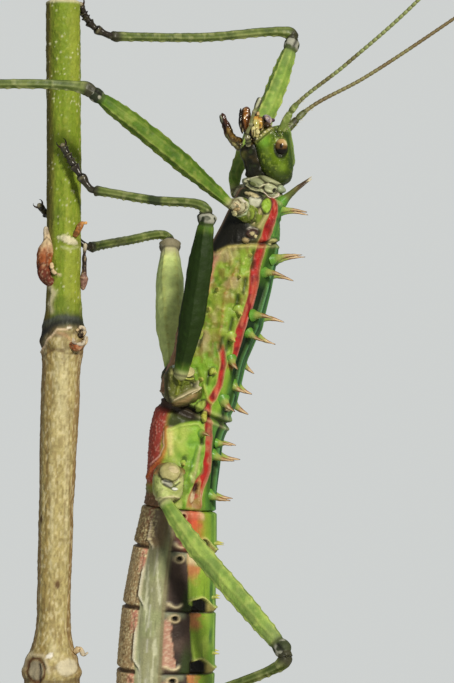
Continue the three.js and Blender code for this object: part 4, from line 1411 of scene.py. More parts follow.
        far = (
            ((11.16, 0.6, 114.62), (10.04, 1, 115.08), (9.35, 1.3, 116.57), (8.65, 1.6, 118.23),
                (0.46, 0.36, 0.34, 0.2), gold, 0.45),
            ((10.81, 0.7, 113.76), (9.95, 1.2, 114.66), (9.26, 1.6, 115.64), (8.74, 1.8, 117.13),
                (0.34, 0.3, 0.26, 0.14), straw, 0.5),
            ((10.98, 0.5, 114.09), (10.55, 0.9, 114.73), (9.95, 1.1, 115.52), (9.17, 1.3, 117.35),
                (0.4, 0.3, 0.14, 0.1), cream, 0.6),
            ((9.35, 1.7, 115.91), (9.17, 1.8, 115.96), (9.09, 1.85, 115.99), (9, 1.9, 116.01),
                (0.24, 0.26, 0.26, 0.24), cream, 2),
        )
        for number, (*points, radii, colour, start) in enumerate(far):
            blade = rod(points, even(*radii), 32, 60, (1, 0, 0.2), 0.08)
            parts.append(self.husk(blade, colour, 0x42261A, 71 + number, start, 180, 0.6))
        return parts

    def palp(self, points: Path, seed: float) -> BMesh:
        """One palp: dark rings at its foot, slim pale joints, and a dark club at its tip.

        Args:
            points: the points that it goes through.
            seed: picks its mottling.

        Returns:
            Its bmesh.
        """
        stops = (
            0, 0.3, 0.05, 0.3, 0.09, 0.4, 0.14, 0.28, 0.19, 0.38, 0.25, 0.22, 0.42, 0.19, 0.46, 0.27, 0.5,
            0.18, 0.66, 0.19, 0.7, 0.27, 0.75, 0.2, 0.84, 0.34, 0.95, 0.36, 1, 0.26,
        )
        tube = rod(points, stops, 20, 110, (1, 0, 0.1), 0.03)
        skin = tube.skin
        share, angle = skin.share, skin.angle
        skin.paint(0xA4A870)
        knot = sum(hump(share - at, 0.022) for at in (0.04, 0.19, 0.46, 0.7))
        dip = sum(hump(share - at, 0.02) for at in (0.1, 0.15, 0.26))
        skin.layer(1, (0x16120C, np.clip(dip, 0, 1) * 0.95), (0xE4DEB6, np.clip(knot, 0, 1) * 0.9),
            (0x2C2C18, ease(0.2, 0.8, -np.sin(np.radians(angle))) * 0.5),
            (0x605C34, ease(0, 0.6, drift(skin.place, 0.3, seed)) * 0.5))
        club = ease(0.76, 0.82, share)
        skin.layer(club, (0x2E281E, 0.92), (0xCED0AC, hump(np.abs(angle) - 96, 26) * 0.9))
        skin.gloss += 0.5
        return tube.mesh()

    def feeler(self, points: Path, side: Side) -> BMesh:
        """One antenna: a long scape, a short knob, and a lash of many rings.

        Args:
            points: the points that it goes through.
            side: its side.

        Returns:
            Its bmesh.
        """
        stops = (
            0, 0.36, 0.02, 0.46, 0.05, 0.47, 0.066, 0.4, 0.07, 0.28, 0.078, 0.38, 0.092, 0.36, 0.1, 0.27,
            0.12, 0.25, 0.5, 0.23, 1, 0.15,
        )
        tube = rod(points, stops, 14, 620, (0, 1, 0), 0.006)
        skin = tube.skin
        share, place = skin.share, skin.place
        skin.paint(0x808A54)
        lash = ease(0.098, 0.104, share)
        beat = np.mod((share - 0.1) * 62 * (1.2 - 0.2 * share), 1)
        ring = hump(np.minimum(beat, 1 - beat), 0.13) * lash
        skin.shape(-0.045, ring)
        skin.paint(0xB0B880, lash * ease(0.5, 0.8, beat) * 0.6)
        skin.paint(0x4A3E26, ring * 0.8)
        dark = ease(0.1, 0.5, drift(place, 2.6, 81))
        skin.paint(0x56422A, lash * dark * 0.6)
        scape = 1 - lash
        # the far (right) antenna is painted darker, as shade
        tone = 0x70823A if side is Side.LEFT else 0x4A5024
        skin.paint(tone, scape * 0.9)
        light, murk = (0.6, 0.5) if side is Side.LEFT else (0.3, 0.9)
        skin.layer(scape, (0xB0BA78, ease(0.1, 0.5, drift(place, 0.35, 82)) * light),
            (0x2A2614, ease(0, 0.5, drift(place, 0.5, 83)) * murk))
        ridge = np.cos(np.radians(skin.angle) * 3)
        skin.height += 0.05 * scape * ridge
        if side is Side.RIGHT:
            skin.paint(0x6E5638, lash * 0.55)
        skin.gloss += 0.1
        return tube.mesh()

    def bristles(self, points: Path, seed: int) -> list[BMesh]:
        """The fine hairs of a feeler's thick base.

        Args:
            points: the points that the feeler goes through.
            seed: picks their places.

        Returns:
            Their bmeshes.
        """
        line = Line(points)
        dice = np.random.default_rng(seed)
        share = dice.uniform(0.005, 0.12, 46)
        turn = dice.uniform(0, 2 * math.pi, 46)
        spot, run, across, up = line.frames(share, (0, 1, 0))
        out = across * np.sin(turn)[:, None] + up * np.cos(turn)[:, None]
        hairs = []
        for foot, way, along, place in zip(spot, out, run, share):
            radius = 0.4 if place < 0.09 else 0.22
            start = foot + way * radius
            tip = start + way * 0.28 + along * 0.24
            hairs.append(rod([start, tip], even(0.034, 0.006), 4, 3, (0.3, 0.3, 1), 0.2).plain(0xD8CEA0))
        return hairs

    def build(self) -> None:
        """Makes the pieces of the head."""
        shell = Cuticle("head_cuticle", 0.34, 0.04, 0.3, 0.35, 0.1, 0.012).make()
        dress(self.cranium(), "head_capsule", shell, "head_cuticle", "head")
        glassy = Cuticle("eye_glaze", 0.42, 0, 0.15, 0.3, 0.1, 0.004).make()
        for side in Side:
            name = f"eye_{side.name.lower()}"
            dress(self.eye(side), f"{name}_glazed", glassy, "eye", name)
        soft = Cuticle("neck_membrane", 0.5, 0.1, 0.3, 0.7, 0.16, 0.02).make()
        collar = rod([(13.7, 110.6), (13.5, 106.6)], even(2.55, 2.4), 220, 100, (1, 0, 0), 0.3,
            wide=even(2, 2.25))
        dress(collar.mesh(self.neck), "neck_folds", soft, "neck_membrane", "neck")
        left = (
            (11.83, -1.2, 113.98), (11.81, -1.6, 114.46), (11.66, -1.9, 115.3), (11.83, -2.1, 115.88),
            (12.1, -2.3, 116.38), (12.25, -2.5, 117.22), (12.63, -2.6, 118.24), (12.93, -2.7, 118.87),
            (13.31, -2.8, 119.71),
        )
        right = (
            (10.81, 1.2, 113.62), (10.38, 1.6, 114.43), (9.78, 1.9, 115.23), (9.13, 2.2, 115.94),
            (8.83, 2.5, 117.01), (8.65, 2.7, 118.15),
        )
        jaws = Cuticle("mouthparts_shell", 0.3, 0.08, 0.3, 0.4, 0.12, 0.015).make()
        pieces = [*self.jaws(), self.palp(left, 84), self.palp(right, 85)]
        dress(joined(pieces), "jaws_and_palps", jaws, "mouthparts", "mouthparts")
        lash = Cuticle("antenna_rings", 0.5, 0.02, 0.3, 0.5, 0.12, 0.012).make()
        feelers = {
            Side.LEFT: ((15.5, -0.9, 115.2), (17.4, -1.8, 118.7), (23.4, -2.4, 123.6), (32.1, -3, 131.3),
                (46.6, -4, 147.6)),
            Side.RIGHT: ((15.6, 0.9, 115.1), (19.2, 2.5, 118.8), (26.1, 5, 122.8), (37.5, 11, 130.7),
                (52.4, 18, 141.6)),
        }
        for side, points in feelers.items():
            whole = joined([self.feeler(points, side), *self.bristles(points, 90 + side.value)])
            name = f"antenna_{side.name.lower()}"
            dress(whole, f"{name}_lash", lash, "antenna", name)


# ---- the legs


@dataclass(frozen=True)
class Hip:
    """What shows of a coxa: its place on the left, its lowest and highest points, half sizes and relief."""

    at: tuple[float, float]
    low: Point
    high: Point
    half: tuple[float, float]
    square: float
    colour: Colour
    marks: Relief


@dataclass(frozen=True)
class Leg:
    """One leg: the points and radii of its lengths.

    Its femur may be painted dark as shade or pale as light, from 0 to 1, and the dark band of its tibia, a
    painted shadow, starts at band_at.
    """

    name: str
    coxa: Path
    femur: Path
    tibia: Path
    tarsus: Path
    thick: tuple[float, float, float, float, float]
    hip: Hip
    dark: float = 0
    pale: float = 0
    band_at: float = 2

    def socket(self, skin: Skin) -> None:
        """The coxa and trochanter: folded plates, beige and green.

        Args:
            skin: the skin that it changes.
        """
        hip = self.hip
        place = skin.place - (self.coxa[1][0] - hip.at[0], 0, self.coxa[1][2] - hip.at[1])
        skin.place = place
        skin.paint(hip.colour)
        cloud = drift(place, 1, 101)
        small = drift(place, 0.36, 102)
        skin.height += 0.07 * cloud + 0.05 * small
        skin.layer(1, (0xB2AC70, ease(0.1, 0.6, cloud) * 0.45), (0x343814, ease(0, 0.6, -cloud) * 0.6),
            (0xC4BE8C, ease(0.3, 0.7, small) * 0.35))
        skin.shape(0.05, knobs(place, 0.3, 0.5, 103), 0xD4CE96, 0.35)
        skin.wear(hip.marks)
        skin.paint(0x282C10, ease(0.5, 0.9, drift(place, 0.5, 104)) * 0.5)
        skin.gloss += 0.12

    def thigh(self, skin: Skin) -> None:
        """The femur: ridged, mottled green, with pale saw-toothed edges and a dark knee.

        Args:
            skin: the skin that it changes.
        """
        share, angle, place = skin.share, skin.angle, skin.place
        a = np.abs(angle)
        skin.paint(0x648A22)
        paint, shape = skin.paint, skin.shape
        cloud = drift(place, 1.5, 111)
        small = drift(place, 0.5, 112)
        skin.layer(1, (0x90AC42, ease(0, 0.6, cloud) * 0.85), (0xB0BA58, ease(0.15, 0.6, small) * 0.45),
            (0x426818, ease(0.1, 0.6, -cloud) * 0.7), (0x4A6C1E, ease(0.2, 0.6, -small) * 0.4))
        skin.height += 0.05 * cloud + 0.04 * small
        shaft = band(share, 0.08, 0.9, 0.05)
        for ridge in (30, 90, 150):
            soft = hump(a - ridge - 4 * cloud, 8) * shaft
            shape(0.08, soft, 0xAAB654, 0.25)
        paint(0x527422, band(a, 44, 66, 6) * shaft * 0.35)
        # painted light: paler where the femur lies in light
        paint(0xD6E692, self.pale * (0.85 + 0.15 * small) * shaft)
        paint(0xD2C4A0, self.pale * ease(0.8, 0.95, share) * 0.9)
        beat = share * 15 + 0.37 * np.sign(angle) + 0.5 * ripple(share, 1 / 9, 113)
        saw = np.mod(beat, 1)
        tooth = np.clip(1 - np.abs(saw - 0.6) / np.where(saw < 0.6, 0.5, 0.2), 0, 1)
        edge = hump(a - 26, 9) + hump(a - 154, 9)
        shape(0.13 - 0.08 * self.dark, edge * tooth * band(share, 0.14, 0.88, 0.05), 0xBEC26C,
            0.65 - 0.6 * self.dark)
        paint(0xB0B860, edge * shaft * 0.25)
        # painted shade: darker where the femur lies in shade, with a painted highlight streak along it
        paint(0x1C3000, self.dark * shaft)
        paint(0x4C600E, self.dark * hump(a - 62 - 5 * small, 9) * 0.4 * shaft)
        base = ease(0.08, 0.03, share)
        paint(0xBAB884, base * 0.85)
        paint(0x3C3622, hump(share - 0.035, 0.01) * 0.7)
        # the knee, dark with grey lobes, less dark on a femur painted pale as light
        knee = ease(0.925, 0.945, share)
        lobe = hump(share - 0.972, 0.022) * hump(a - 90, 30)
        shape(0.2, lobe)
        skin.layer(knee, (0x282A22, 0.95 - 0.4 * self.pale),
            (0xA8A898, ease(0.15, 0.45, small + 0.3 * lobe) * 0.9))
        shape(-0.14, hump(share - 0.925, 0.012), 0x28281E, 0.7)
        shape(-0.12, knee * hump(a - 90, 9), 0x181614, 0.8)

    def shin(self, skin: Skin) -> None:
        """The tibia: slim, ridged, grey-green, with one dark band, a painted shadow.

        Args:
            skin: the skin that it changes.
        """
        share, place = skin.share, skin.place
        a = np.abs(skin.angle)
        skin.paint(0x5C6C2C)
        cloud = drift(place, 1.2, 121)
        small = drift(place, 0.5, 122)
        skin.layer(1, (0x869050, ease(0, 0.6, cloud) * 0.8), (0x42541E, ease(0.1, 0.6, -cloud) * 0.75),
            (0xA4A870, ease(0.2, 0.6, small) * 0.45))
        skin.height += 0.04 * small
        for ridge in (0, 60, 120, 180):
            skin.shape(0.06, hump(a - ridge, 12), 0xAEB47C, 0.2)
            skin.paint(0x3C4824, hump(a - ridge - 30, 12) * 0.35)
        saw = np.mod(share * 17 + 0.4 * ripple(share, 1 / 8, 123), 1)
        skin.shape(0.09, hump(a - 180, 16) * hump(saw - 0.5, 0.16), 0xBEBE8C, 0.6)
        # a painted shadow across the tibia
        dark = band(share, self.band_at, self.band_at + 0.11, 0.02)
        skin.paint(0x26321C, dark * 0.88)
        ends = 1 - ease(0.05, 0.08, share) + ease(0.93, 0.975, share)
        skin.paint(0x322E24, ends * 0.9)
        skin.gloss += 0.2

    def foot(self, skin: Skin) -> None:
        """The five joints of the foot, dark with paler rims and pads below.

        Args:
            skin: the skin that it changes.
        """
        share, place = skin.share, skin.place
        skin.paint(0x2C261E)
        _, q = parted((0, 0.42, 0.62, 0.74, 0.84, 1), share)
        flare = 0.2 * ease(0.45, 0.92, q) - 0.16 * hump(q - 1, 0.06) - 0.06 * hump(q, 0.1)
        skin.height += flare * ease(1, 0.9, share) + 0.05 * drift(place, 0.4, 132)
        skin.layer(1, (0x787256, hump(q - 0.86, 0.08) * ease(-0.2, 0.4, drift(place, 0.5, 131)) * 0.8),
            (0x54543C, ease(0.1, 0.7, drift(place, 0.6, 133)) * 0.5), (0x0E0C0A, hump(q - 1, 0.08)))
        skin.gloss += 0.5

    def pieces(self, finishes: dict[str, Material]) -> None:
        """Makes the leg's four pieces.

        Args:
            finishes: the material of each kind of piece.
        """
        root, base, femur, knee, tibia = self.thick
        foot, end = Vector(self.coxa[0]), Vector(self.coxa[1])
        away = math.copysign(1, -end.y)
        shift = Vector((end.x - self.hip.at[0], 0, end.z - self.hip.at[1]))
        block = [Vector((x, y * away, z)) + shift for x, y, z in (self.hip.low, self.hip.high)]
        deep, broad = self.hip.half
        hip = (
            rod([foot, end], even(root, root * 0.75), 90, 60, blunt=0.2),
            rod(block, even(deep, deep), 170, 130, (1, 0, 0), 0.34, self.hip.square, even(broad, broad)),
            rod([foot.lerp(end, 0.7), self.femur[0]], even(base * 1.3, base * 1.3), 60, 50, blunt=0.2,
                wide=1.2 / 1.3),
        )
        start = stepped(*self.femur[:2], -0.9)
        high = (
            0, base * 0.9, 0.05, base, 0.16, base * 0.7 + femur * 0.3, 0.36, femur, 0.72, femur * 0.95, 0.9,
            knee * 0.94, 0.96, knee * 1.04, 1, knee,
        )
        thigh = rod([start, *self.femur[1:]], high, 100, 260, blunt=0.035, square=0.86, wide=0.82)
        inside = stepped(self.femur[-1], self.femur[-2], 0.9)
        girth = (
            0, tibia * 1.32, 0.06, tibia * 1.65, 0.1, tibia * 1.21, 0.16, tibia * 1.045, 0.88, tibia * 0.968,
            1, tibia * 1.21,
        )
        shin = rod([inside, *self.tibia], girth, 56, 240, blunt=0.02, wide=0.91)
        for kind, word, bm in (
            ("coxa", "plates", joined([part.mesh(self.socket) for part in hip])),
            ("femur", "ridged", thigh.mesh(self.thigh)), ("tibia", "ridged", shin.mesh(self.shin)),
            ("tarsus", "joints", joined(self.foot_parts())),
        ):
            dress(bm, f"{kind}_{self.name}_{word}", finishes[kind], f"{kind}_cuticle", f"{kind}_{self.name}")

    def foot_parts(self) -> list[BMesh]:
        """The tarsus with its claws, and the round pad between them.

        Returns:
            Their bmeshes.
        """
        start = stepped(self.tibia[-1], self.tibia[-2], 0.4)
        line = Line([start, *self.tarsus])
        parts = [rod(line, even(0.42, 0.42), 28, 130, (0, 1, 0.2), 0.03, wide=0.95).mesh(self.foot)]
        spot, run, across, _ = (rows[0] for rows in line.frames(np.array([0.97]), (0, 1, 0.2)))
        parts.append(ball(spot + run * 0.3, (0.32, 0.32, 0.3), 0, 14).plain(0x968C6E))
        for hand in (1, -1):
            bent = [
                spot + across * 0.16 * hand, spot + run * 0.45 + across * 0.5 * hand,
                spot + run * 0.85 + across * 0.55 * hand, spot + run * 1.05 + across * 0.4 * hand,
            ]
            parts.append(rod(bent, even(0.184, 0.014), 10, 20, blunt=0.04).plain(0x3C281A, BLACK))
        return parts


FORE_HIP = Hip(
    (10.6, 106.4), (10.85, -4.1, 105.6), (10.85, -4.1, 107.75), (1.12, 1.15), 1, 0x74862C,
    relief(
        (10.7, 106.6, 1.12, 1.05, 0, 0.2, 0xBCB692, 0x3C3C1E, 0.6),
        ((11.6, 107.1, 11.8, 106.4, 11.5, 105.7, 10.8, 105.4, 10.2, 105.5), 0.1, 0.16, 0xC4D0A8),
        ((11.3, 106.9, 11.5, 106.3, 11.2, 105.9, 10.6, 105.7), 0.08, -0.14, 0x6E6842),
        # painted highlight along the top of the coxa
        ((9.8, 107.6, 10.4, 107.9, 11, 107.6, 11.3, 107.1), 0.15, 0.2, 0xE2DAC8),
        ((9.8, 106.9, 10, 107.3, 10.6, 107.4, 10.9, 107), 0.09, -0.16, 0x604E36),
        ((10.1, 106.7, 10.4, 107, 10.8, 106.7, 10.7, 106.2), 0.08, 0.14, 0xD6BE96),
        (10.4, 106.2, 0.42, 0.26, 10, 0.12, 0xC6AA76, 0x78603C, 0.5),
        (10.1, 105.8, 0.44, 0.27, 14, 0.3, 0xF8F2BA, 0x544C28, 0.6),
        # painted shade along the lower edge, then a painted highlight on the green barrel
        ((9.7, 106.1, 10, 105.3, 10.7, 104.7, 11.8, 104.5, 12.6, 104.8), 0.24, -0.05, 0x2C280E),
        ((12.1, 106.5, 12.5, 105.9, 12.3, 105.2), 0.22, 0.1, 0x8EA23C, 0.8),
        ((12.7, 106, 12.6, 105.3, 12.2, 104.8), 0.1, -0.14, 0x342E14, 0.8),
    ),
)
MID_HIP = Hip(
    (3.5, 85.7), (3.75, -4.6, 82.7), (3.5, -4.6, 87.9), (1.85, 1.85), 0.72, 0x585C24,
    relief(
        # painted shade under the coxa
        (3.9, 82.3, 2.4, 0.8, 0, 0, 0x222012, 0x222012, 0.9),
        (3.7, 85.4, 1.55, 1.2, 0, -0.5, 0x565C1A, 0x5C6228, 0.3),
        ((3.4, 85.9, 3.5, 85.2, 3.3, 84.3), 0.2, 0.22, 0x7C8628, 0.8),
        ((5.1, 85.7, 4.3, 85.5, 4, 85.1), 0.15, 0.16, 0x70802C, 0.7),
        (4.3, 87.1, 1.1, 0.78, -16, 0.5, 0xC0B680, 0x3C3C1A),
        ((3.2, 87, 3.8, 86.4, 4.4, 86.1, 5.2, 86.1), 0.12, 0.26, 0xC0C85C),
        ((3.3, 87.2, 3.9, 86.7, 4.4, 86.4), 0.06, -0.12, 0x56541E),
        # painted highlight
        (3.1, 87.6, 0.32, 0.2, 0, 0.2, 0xE0EEE0, 0x788264, 0.4),
        ((3.2, 83.6, 4.8, 84.6, 5.8, 85), 0.17, 0.55, 0xDACCA4),
        ((3.4, 83.2, 4.3, 83.5, 5.4, 84.2), 0.4, 0.26, 0x987E56),
        ((3.2, 82.6, 4.5, 82.8, 5.6, 83.3), 0.34, 0, 0x3C3020),
        ((5.3, 87.8, 5.9, 86.2, 5.6, 85.2), 0.12, 0.3, 0xD0CAA2),
        ((5.1, 85.7, 5.5, 85.5, 5.4, 85.2), 0.14, -0.2, 0x2C2A22),
        ((2.2, 87.1, 2, 86, 2.1, 84.6, 2.5, 83.3), 0.3, -0.1, 0x282612),
    ),
)
HIND_HIP = Hip(
    (1.7, 73.5), (2.35, -4.7, 71.3), (2.35, -4.7, 76.2), (1.85, 1.9), 0.86, 0xBAC67A,
    relief(
        ((0.8, 74.9, 1.4, 76, 2.5, 76.6, 3.7, 76.2, 4.1, 74.9), 0.16, 0.3, 0x8E6034),
        (2.5, 75.1, 1.25, 1.1, 0, 0.34, 0xACA46E, 0x543A22, 0.75),
        (2.9, 75.4, 0.6, 0.4, -30, 0.05, 0xC8BA8E, 0xB0A674, 0.2),
        (2.2, 73.8, 0.8, 0.42, -24, -0.3, 0xA8A696, 0x3C3426, 0.7),
        ((1.7, 73.7, 2.8, 73.1, 3.7, 73.8), 0.1, -0.22, 0x221E14),
        # painted highlight
        (3.1, 73.1, 0.34, 0.2, 0, 0.2, 0xF0F0E6, 0x3C3C2C, 0.5),
        ((0.5, 71.7, 2.9, 72.2, 3.7, 71.9), 0.2, 0.3, 0xD4CC9C),
        ((1.1, 71.1, 2.8, 71.4, 4.1, 72.1), 0.16, -0.3, 0x241E14),
        (1.5, 70.7, 0.6, 0.45, 0, 0.3, 0xC4C28C, 0x3C321E, 0.6),
        ((0.9, 74.2, 0.8, 73.2, 1.2, 72.4), 0.35, 0.06, 0x849248, 0.8),
        ((2.3, 72.9, 3.2, 72.6, 3.9, 73.3), 0.25, 0.05, 0x929C54, 0.8),
        # painted shadow beside the coxa
        ((3.6, 76.3, 4.3, 75.3, 4.4, 73.8, 4.2, 72.4), 0.2, -0.2, 0x423A1C, 0.9),
    ),
)

LEGS = (
    Leg("fore_left", ((13.2, -1.6, 105), (10.6, -4.3, 106.4)),
        ((9.5, -4.8, 107), (3.6, -7.4, 112), (-1.7, -9.4, 116.2), (-6.7, -11, 119.8)),
        ((-7.3, -11, 120.1), (-19.3, -12.4, 120.4), (-30.2, -12, 119.5)),
        ((-30.5, -12, 119.4), (-33.4, -12.1, 118.6), (-36.3, -12, 116.6)), (1.3, 0.6, 1.08, 0.85, 0.52),
        FORE_HIP, 0.4),
    Leg("fore_right", ((12.9, 1.8, 105.8), (11, 4.3, 108.4)),
        ((10.2, 4.9, 108.9), (10.3, 5.6, 110.9), (11.2, 6.5, 113.1), (14.3, 10, 119.3), (17.7, 15, 128.6)),
        ((17.3, 15.1, 129.2), (5.9, 8.6, 128.1), (-4.9, 2.7, 127.6)),
        ((-5.3, 2.5, 127.8), (-6.8, 2.1, 128.6), (-7.9, 1.7, 129.9), (-8.4, 1.2, 131.2)),
        (1.3, 0.6, 1.2, 0.95, 0.52), FORE_HIP, pale=0.15),
    Leg("mid_left", ((5.2, -2.6, 84.2), (3.5, -5.9, 85.7)),
        ((3.8, -6.4, 86.8), (5, -6.9, 92.5), (6.2, -7.3, 100), (7, -7.6, 105.8)),
        ((6.5, -7.7, 106.4), (0.5, -5.6, 107.3), (-6.6, -3.5, 108.6)),
        ((-6.9, -3.4, 108.7), (-8.3, -3.2, 110.5), (-9.5, -3, 112.4), (-10.3, -2.9, 113.9)),
        (1.8, 0.95, 1.72, 1.2, 0.5), MID_HIP, 1, band_at=0.44),
    Leg("mid_right", ((5.3, 2.6, 84.2), (3, 5.9, 85.8)),
        ((2.5, 6.5, 86.9), (2.2, 10.4, 94), (2.1, 15.3, 103.2)),
        ((1.6, 15.6, 103.8), (-3.4, 9.4, 103), (-7.5, 3.7, 102)),
        ((-7.8, 3.5, 102.1), (-9.8, 3.3, 103.6), (-12.2, 2.9, 105.6), (-13.4, 1.7, 107)),
        (1.8, 0.95, 2.12, 1.5, 0.5), MID_HIP, pale=1),
    Leg("hind_left", ((3.3, -2.6, 74.6), (1.7, -6, 73.5)),
        ((1.9, -6.5, 71.6), (5.3, -9.2, 66.9), (11.2, -13.4, 60.3), (16.2, -17, 54.7)),
        ((15.9, -17.1, 54.1), (6, -11.2, 48.9), (-3.5, -5.2, 43)),
        ((-3.8, -5, 42.8), (-6.3, -4.1, 41.2), (-9.5, -3.1, 39.4)), (1.8, 0.8, 1.16, 1, 0.52), HIND_HIP,
        pale=0.2),
    Leg("hind_right", ((3.3, 2.6, 74.4), (1.7, 6, 73.2)),
        ((1.8, 6.6, 71.2), (2.6, 9.4, 63.4), (4.4, 14.9, 47.4)),
        ((4.2, 15, 46.6), (-2, 9.2, 39.2), (-7.9, 3.7, 32)),
        ((-8.2, 3.5, 31.7), (-10.3, 3.2, 29.3), (-12.7, 3, 27.3)), (1.8, 0.8, 1.4, 1.1, 0.52), HIND_HIP),
)


# ---- the stem and the stand


@dataclass
class Stem:
    """The cut stem: green and speckled above the upper node, woody below it, with its buds."""

    line: Line = field(default_factory=lambda: Line([
        (-12, 10.6), (-12, 35), (-11.65, 57), (-10.85, 83.5), (-10.5, 92), (-10.38, 113.6), (-10.45, 131.8),
    ]))
    radius: Stops = (10, 2.4, 46, 2.3, 57, 2.06, 70, 2.1, 84, 2.3, 97, 2.02, 132, 2.06)
    nodes: Sequence[tuple[float, float, float]] = ((50.5, 1.3, 3.2), (91, 0.55, 2.4))
    scars_and_node_shade: Relief = relief(
        # painted shade: a near-black band along the upper node
        ((-13.7, 90.2, -12.8, 91.6, -11.6, 92.6, -9.9, 93, -8.2, 92.8), 1, -0.06, 0x222422, 0.98),
        ((-13.3, 92.1, -12.5, 92.8, -10.9, 93.5, -8.7, 93.3), 0.3, 0.02, 0x424642, 0.8),
        ((-13.2, 89.1, -12.1, 90.8, -11, 92, -9.8, 92, -9.6, 92.3), 0.13, 0.22, 0xD8C09E, 0.9),
        ((-10.9, 91.6, -9.9, 91.2, -8.9, 90.2), 0.2, 0.12, 0xBE9870, 0.7),
        ((-13, 88.7, -11.3, 89.7, -9.7, 89.1, -8.2, 89), 0.1, -0.1, 0x543A24, 0.6),
        (-9.6, 92.2, 0.3, 0.2, 0, 0.2, 0xE8DEC8, 0x503C28, 0.5),
        (-9.7, 102.7, 1.2, 0.5, -24, 0.14, 0xD6CEAC, 0x686E32, 0.5),
        (-10.8, 103, 0.4, 0.3, -24, 0.1, 0xBEBE96, 0x606A2E, 0.4),
        ((-10.6, 101.9, -9.6, 101.6, -8.7, 101.9), 0.14, 0.05, 0xBABC8C, 0.6),
        ((-12, 97.2, -11.4, 96.4, -11.9, 95.2, -11.7, 94.2), 0.3, 0.12, 0xC4BA96, 0.8),
        ((-11.9, 99.3, -11.3, 98.6, -10.6, 98.5), 0.12, 0.14, 0xCEBE8C, 0.8),
        ((-15.3, 51, -14.3, 53, -12.6, 53, -11.9, 51), 0.2, 0.22, 0xCEC0A0, 0.7),
        (-13.6, 51.2, 1, 1.3, 0, -0.2, 0x968C74, 0x5C3A22, 1),
        ((-13.3, 51.9, -13.1, 50.9, -13.2, 49.9), 0.16, -0.3, 0x322822, 0.9),
        (-9.9, 51.6, 1.3, 1.1, 0, 0.16, 0xCEC4A6, 0xAA9670, 0.3),
        (-11.9, 53, 0.5, 0.3, 20, 0.2, 0xE4DED0, 0x786446, 0.4),
        (-11, 61.4, 0.3, 0.5, 0, -0.06, 0x60482E, 0x786042, 0.5),
        (-13.1, 69.2, 0.2, 0.5, 0, -0.06, 0x60482E, 0x786042, 0.5),
    )

    def girth(self) -> Stops:
        """The stem's radius, with the swelling of its nodes.

        Returns:
            The radius at shares of its length.
        """
        share = np.linspace(0, 1, 500)
        z = self.line.frames(share, (1, 0, 0))[0][:, 2]
        swells = sum(swell * hump(z - height, reach) for height, swell, reach in self.nodes)
        return np.stack([share, read(self.radius, z) + swells], axis=1).ravel()

    def bark(self, skin: Skin) -> None:
        """The bark, green above and woody below.

        Args:
            skin: the skin that it changes.
        """
        place = skin.place
        z = place[:, 2]
        skin.paint(0xB2A46E)
        paint, shape = skin.paint, skin.shape
        near = np.abs(skin.angle)
        grainy = drift(place, (0.3, 0.3, 5), 141)
        coarse = drift(place, (0.9, 0.9, 14), 142)
        cloud = drift(place, 2.2, 143)
        fine = drift(place, (0.2, 0.2, 0.4), 146)
        skin.height += 0.05 * grainy + 0.08 * coarse + 0.05 * cloud + 0.05 * fine
        # the old bark: its left side is browner, partly as painted shade
        skin.layer(1, (0xC8BE92, ease(0, 0.7, coarse) * 0.6),
            (0x968046, hump(near - 122 - 10 * coarse, 18) * 0.8),
            (0x84623E, (ease(138, 152, near + 16 * grainy) + 1 - ease(28, 44, near + 16 * grainy)) * 0.7),
            (0x7C643E, ease(0.2, 0.7, -grainy) * 0.4), (0x705836, ease(0.15, 0.5, fine) * 0.4),
            (0xDACEA6, ease(0.2, 0.5, -fine) * 0.5))
        # the young bark: olive, browner towards its left side, partly as painted shade, and small pale specks
        edge = z + 0.5 * coarse
        green = ease(92.3, 93.2, edge)
        skin.layer(green, (0x768A22, 1), (0x929C36, ease(0, 0.6, coarse) * 0.7),
            (0x586C1C, ease(0.1, 0.6, cloud) * 0.6), (0xA4A640, ease(0.2, 0.6, fine) * 0.3),
            (0x5C4A22, ease(104, 150, near + 12 * coarse) * 0.8),
            (0xA89C62, hump(near - 16 - 8 * cloud, 6) * ease(-0.2, 0.4, fine) * 0.7))
        specks = knobs(place, 0.36, 0.16, 144)
        shape(0.06, green * specks, 0xD6D4AC, 0.85)
        paint(0xCEC6A0, ease(131, 131.5, z))
        # the nodes
        for height, reach in ((90.6, 1.6), (50.6, 2)):
            swell = hump((z - height) / reach, 1)
            ring = np.cos((z - height + 0.5 * cloud) * 3.2)
            shape(0.12, swell * ring)
            paint(0x54402A, swell * ease(0.3, 1, -ring) * 0.7)
        skin.wear(self.scars_and_node_shade, ease(0.6, -0.2, place[:, 1]))
        skin.gloss = green * 0.2

    def bud(
        self, points: Path, radii: Sequence[float], colours: Sequence[Colour], seed: float
    ) -> BMesh:
        """One bud, bract or strip of lifted bark.

        Args:
            points: the points that it goes through, from its foot.
            radii: its radii at even shares of its length.
            colours: its colours at even shares of its length.
            seed: the seed of its mottling.

        Returns:
            Its bmesh.
        """
        tube = rod(points, even(*radii), 40, 60, (0, -1, 0.1), 0.05)
        skin = tube.skin
        # overlapping scales, darker at their edges
        share, place = skin.share, skin.place
        skin.paint(colours[0])
        cloud = drift(place, (0.3, 0.3, 0.5), seed)
        spots = drift(place, 0.16, seed + 0.5)
        for number, colour in enumerate(colours[1:], 1):
            level = (number - 0.5) / (len(colours) - 1)
            skin.paint(colour, ease(level - 0.12, level + 0.12, share + 0.07 * cloud))
        scale = np.mod(share * 2.4 + np.abs(skin.angle) / 240, 1)
        skin.shape(0.1, ease(0.1, 0.9, scale))
        skin.layer(1, (0x3C1E12, ease(0.88, 0.98, scale) * 0.7), (0xE0C8A0, ease(0.2, 0.6, spots) * 0.35),
            (0x3C2414, ease(0.15, 0.6, -cloud) * 0.5))
        skin.height += 0.06 * cloud
        skin.gloss += 0.25
        return tube.mesh()

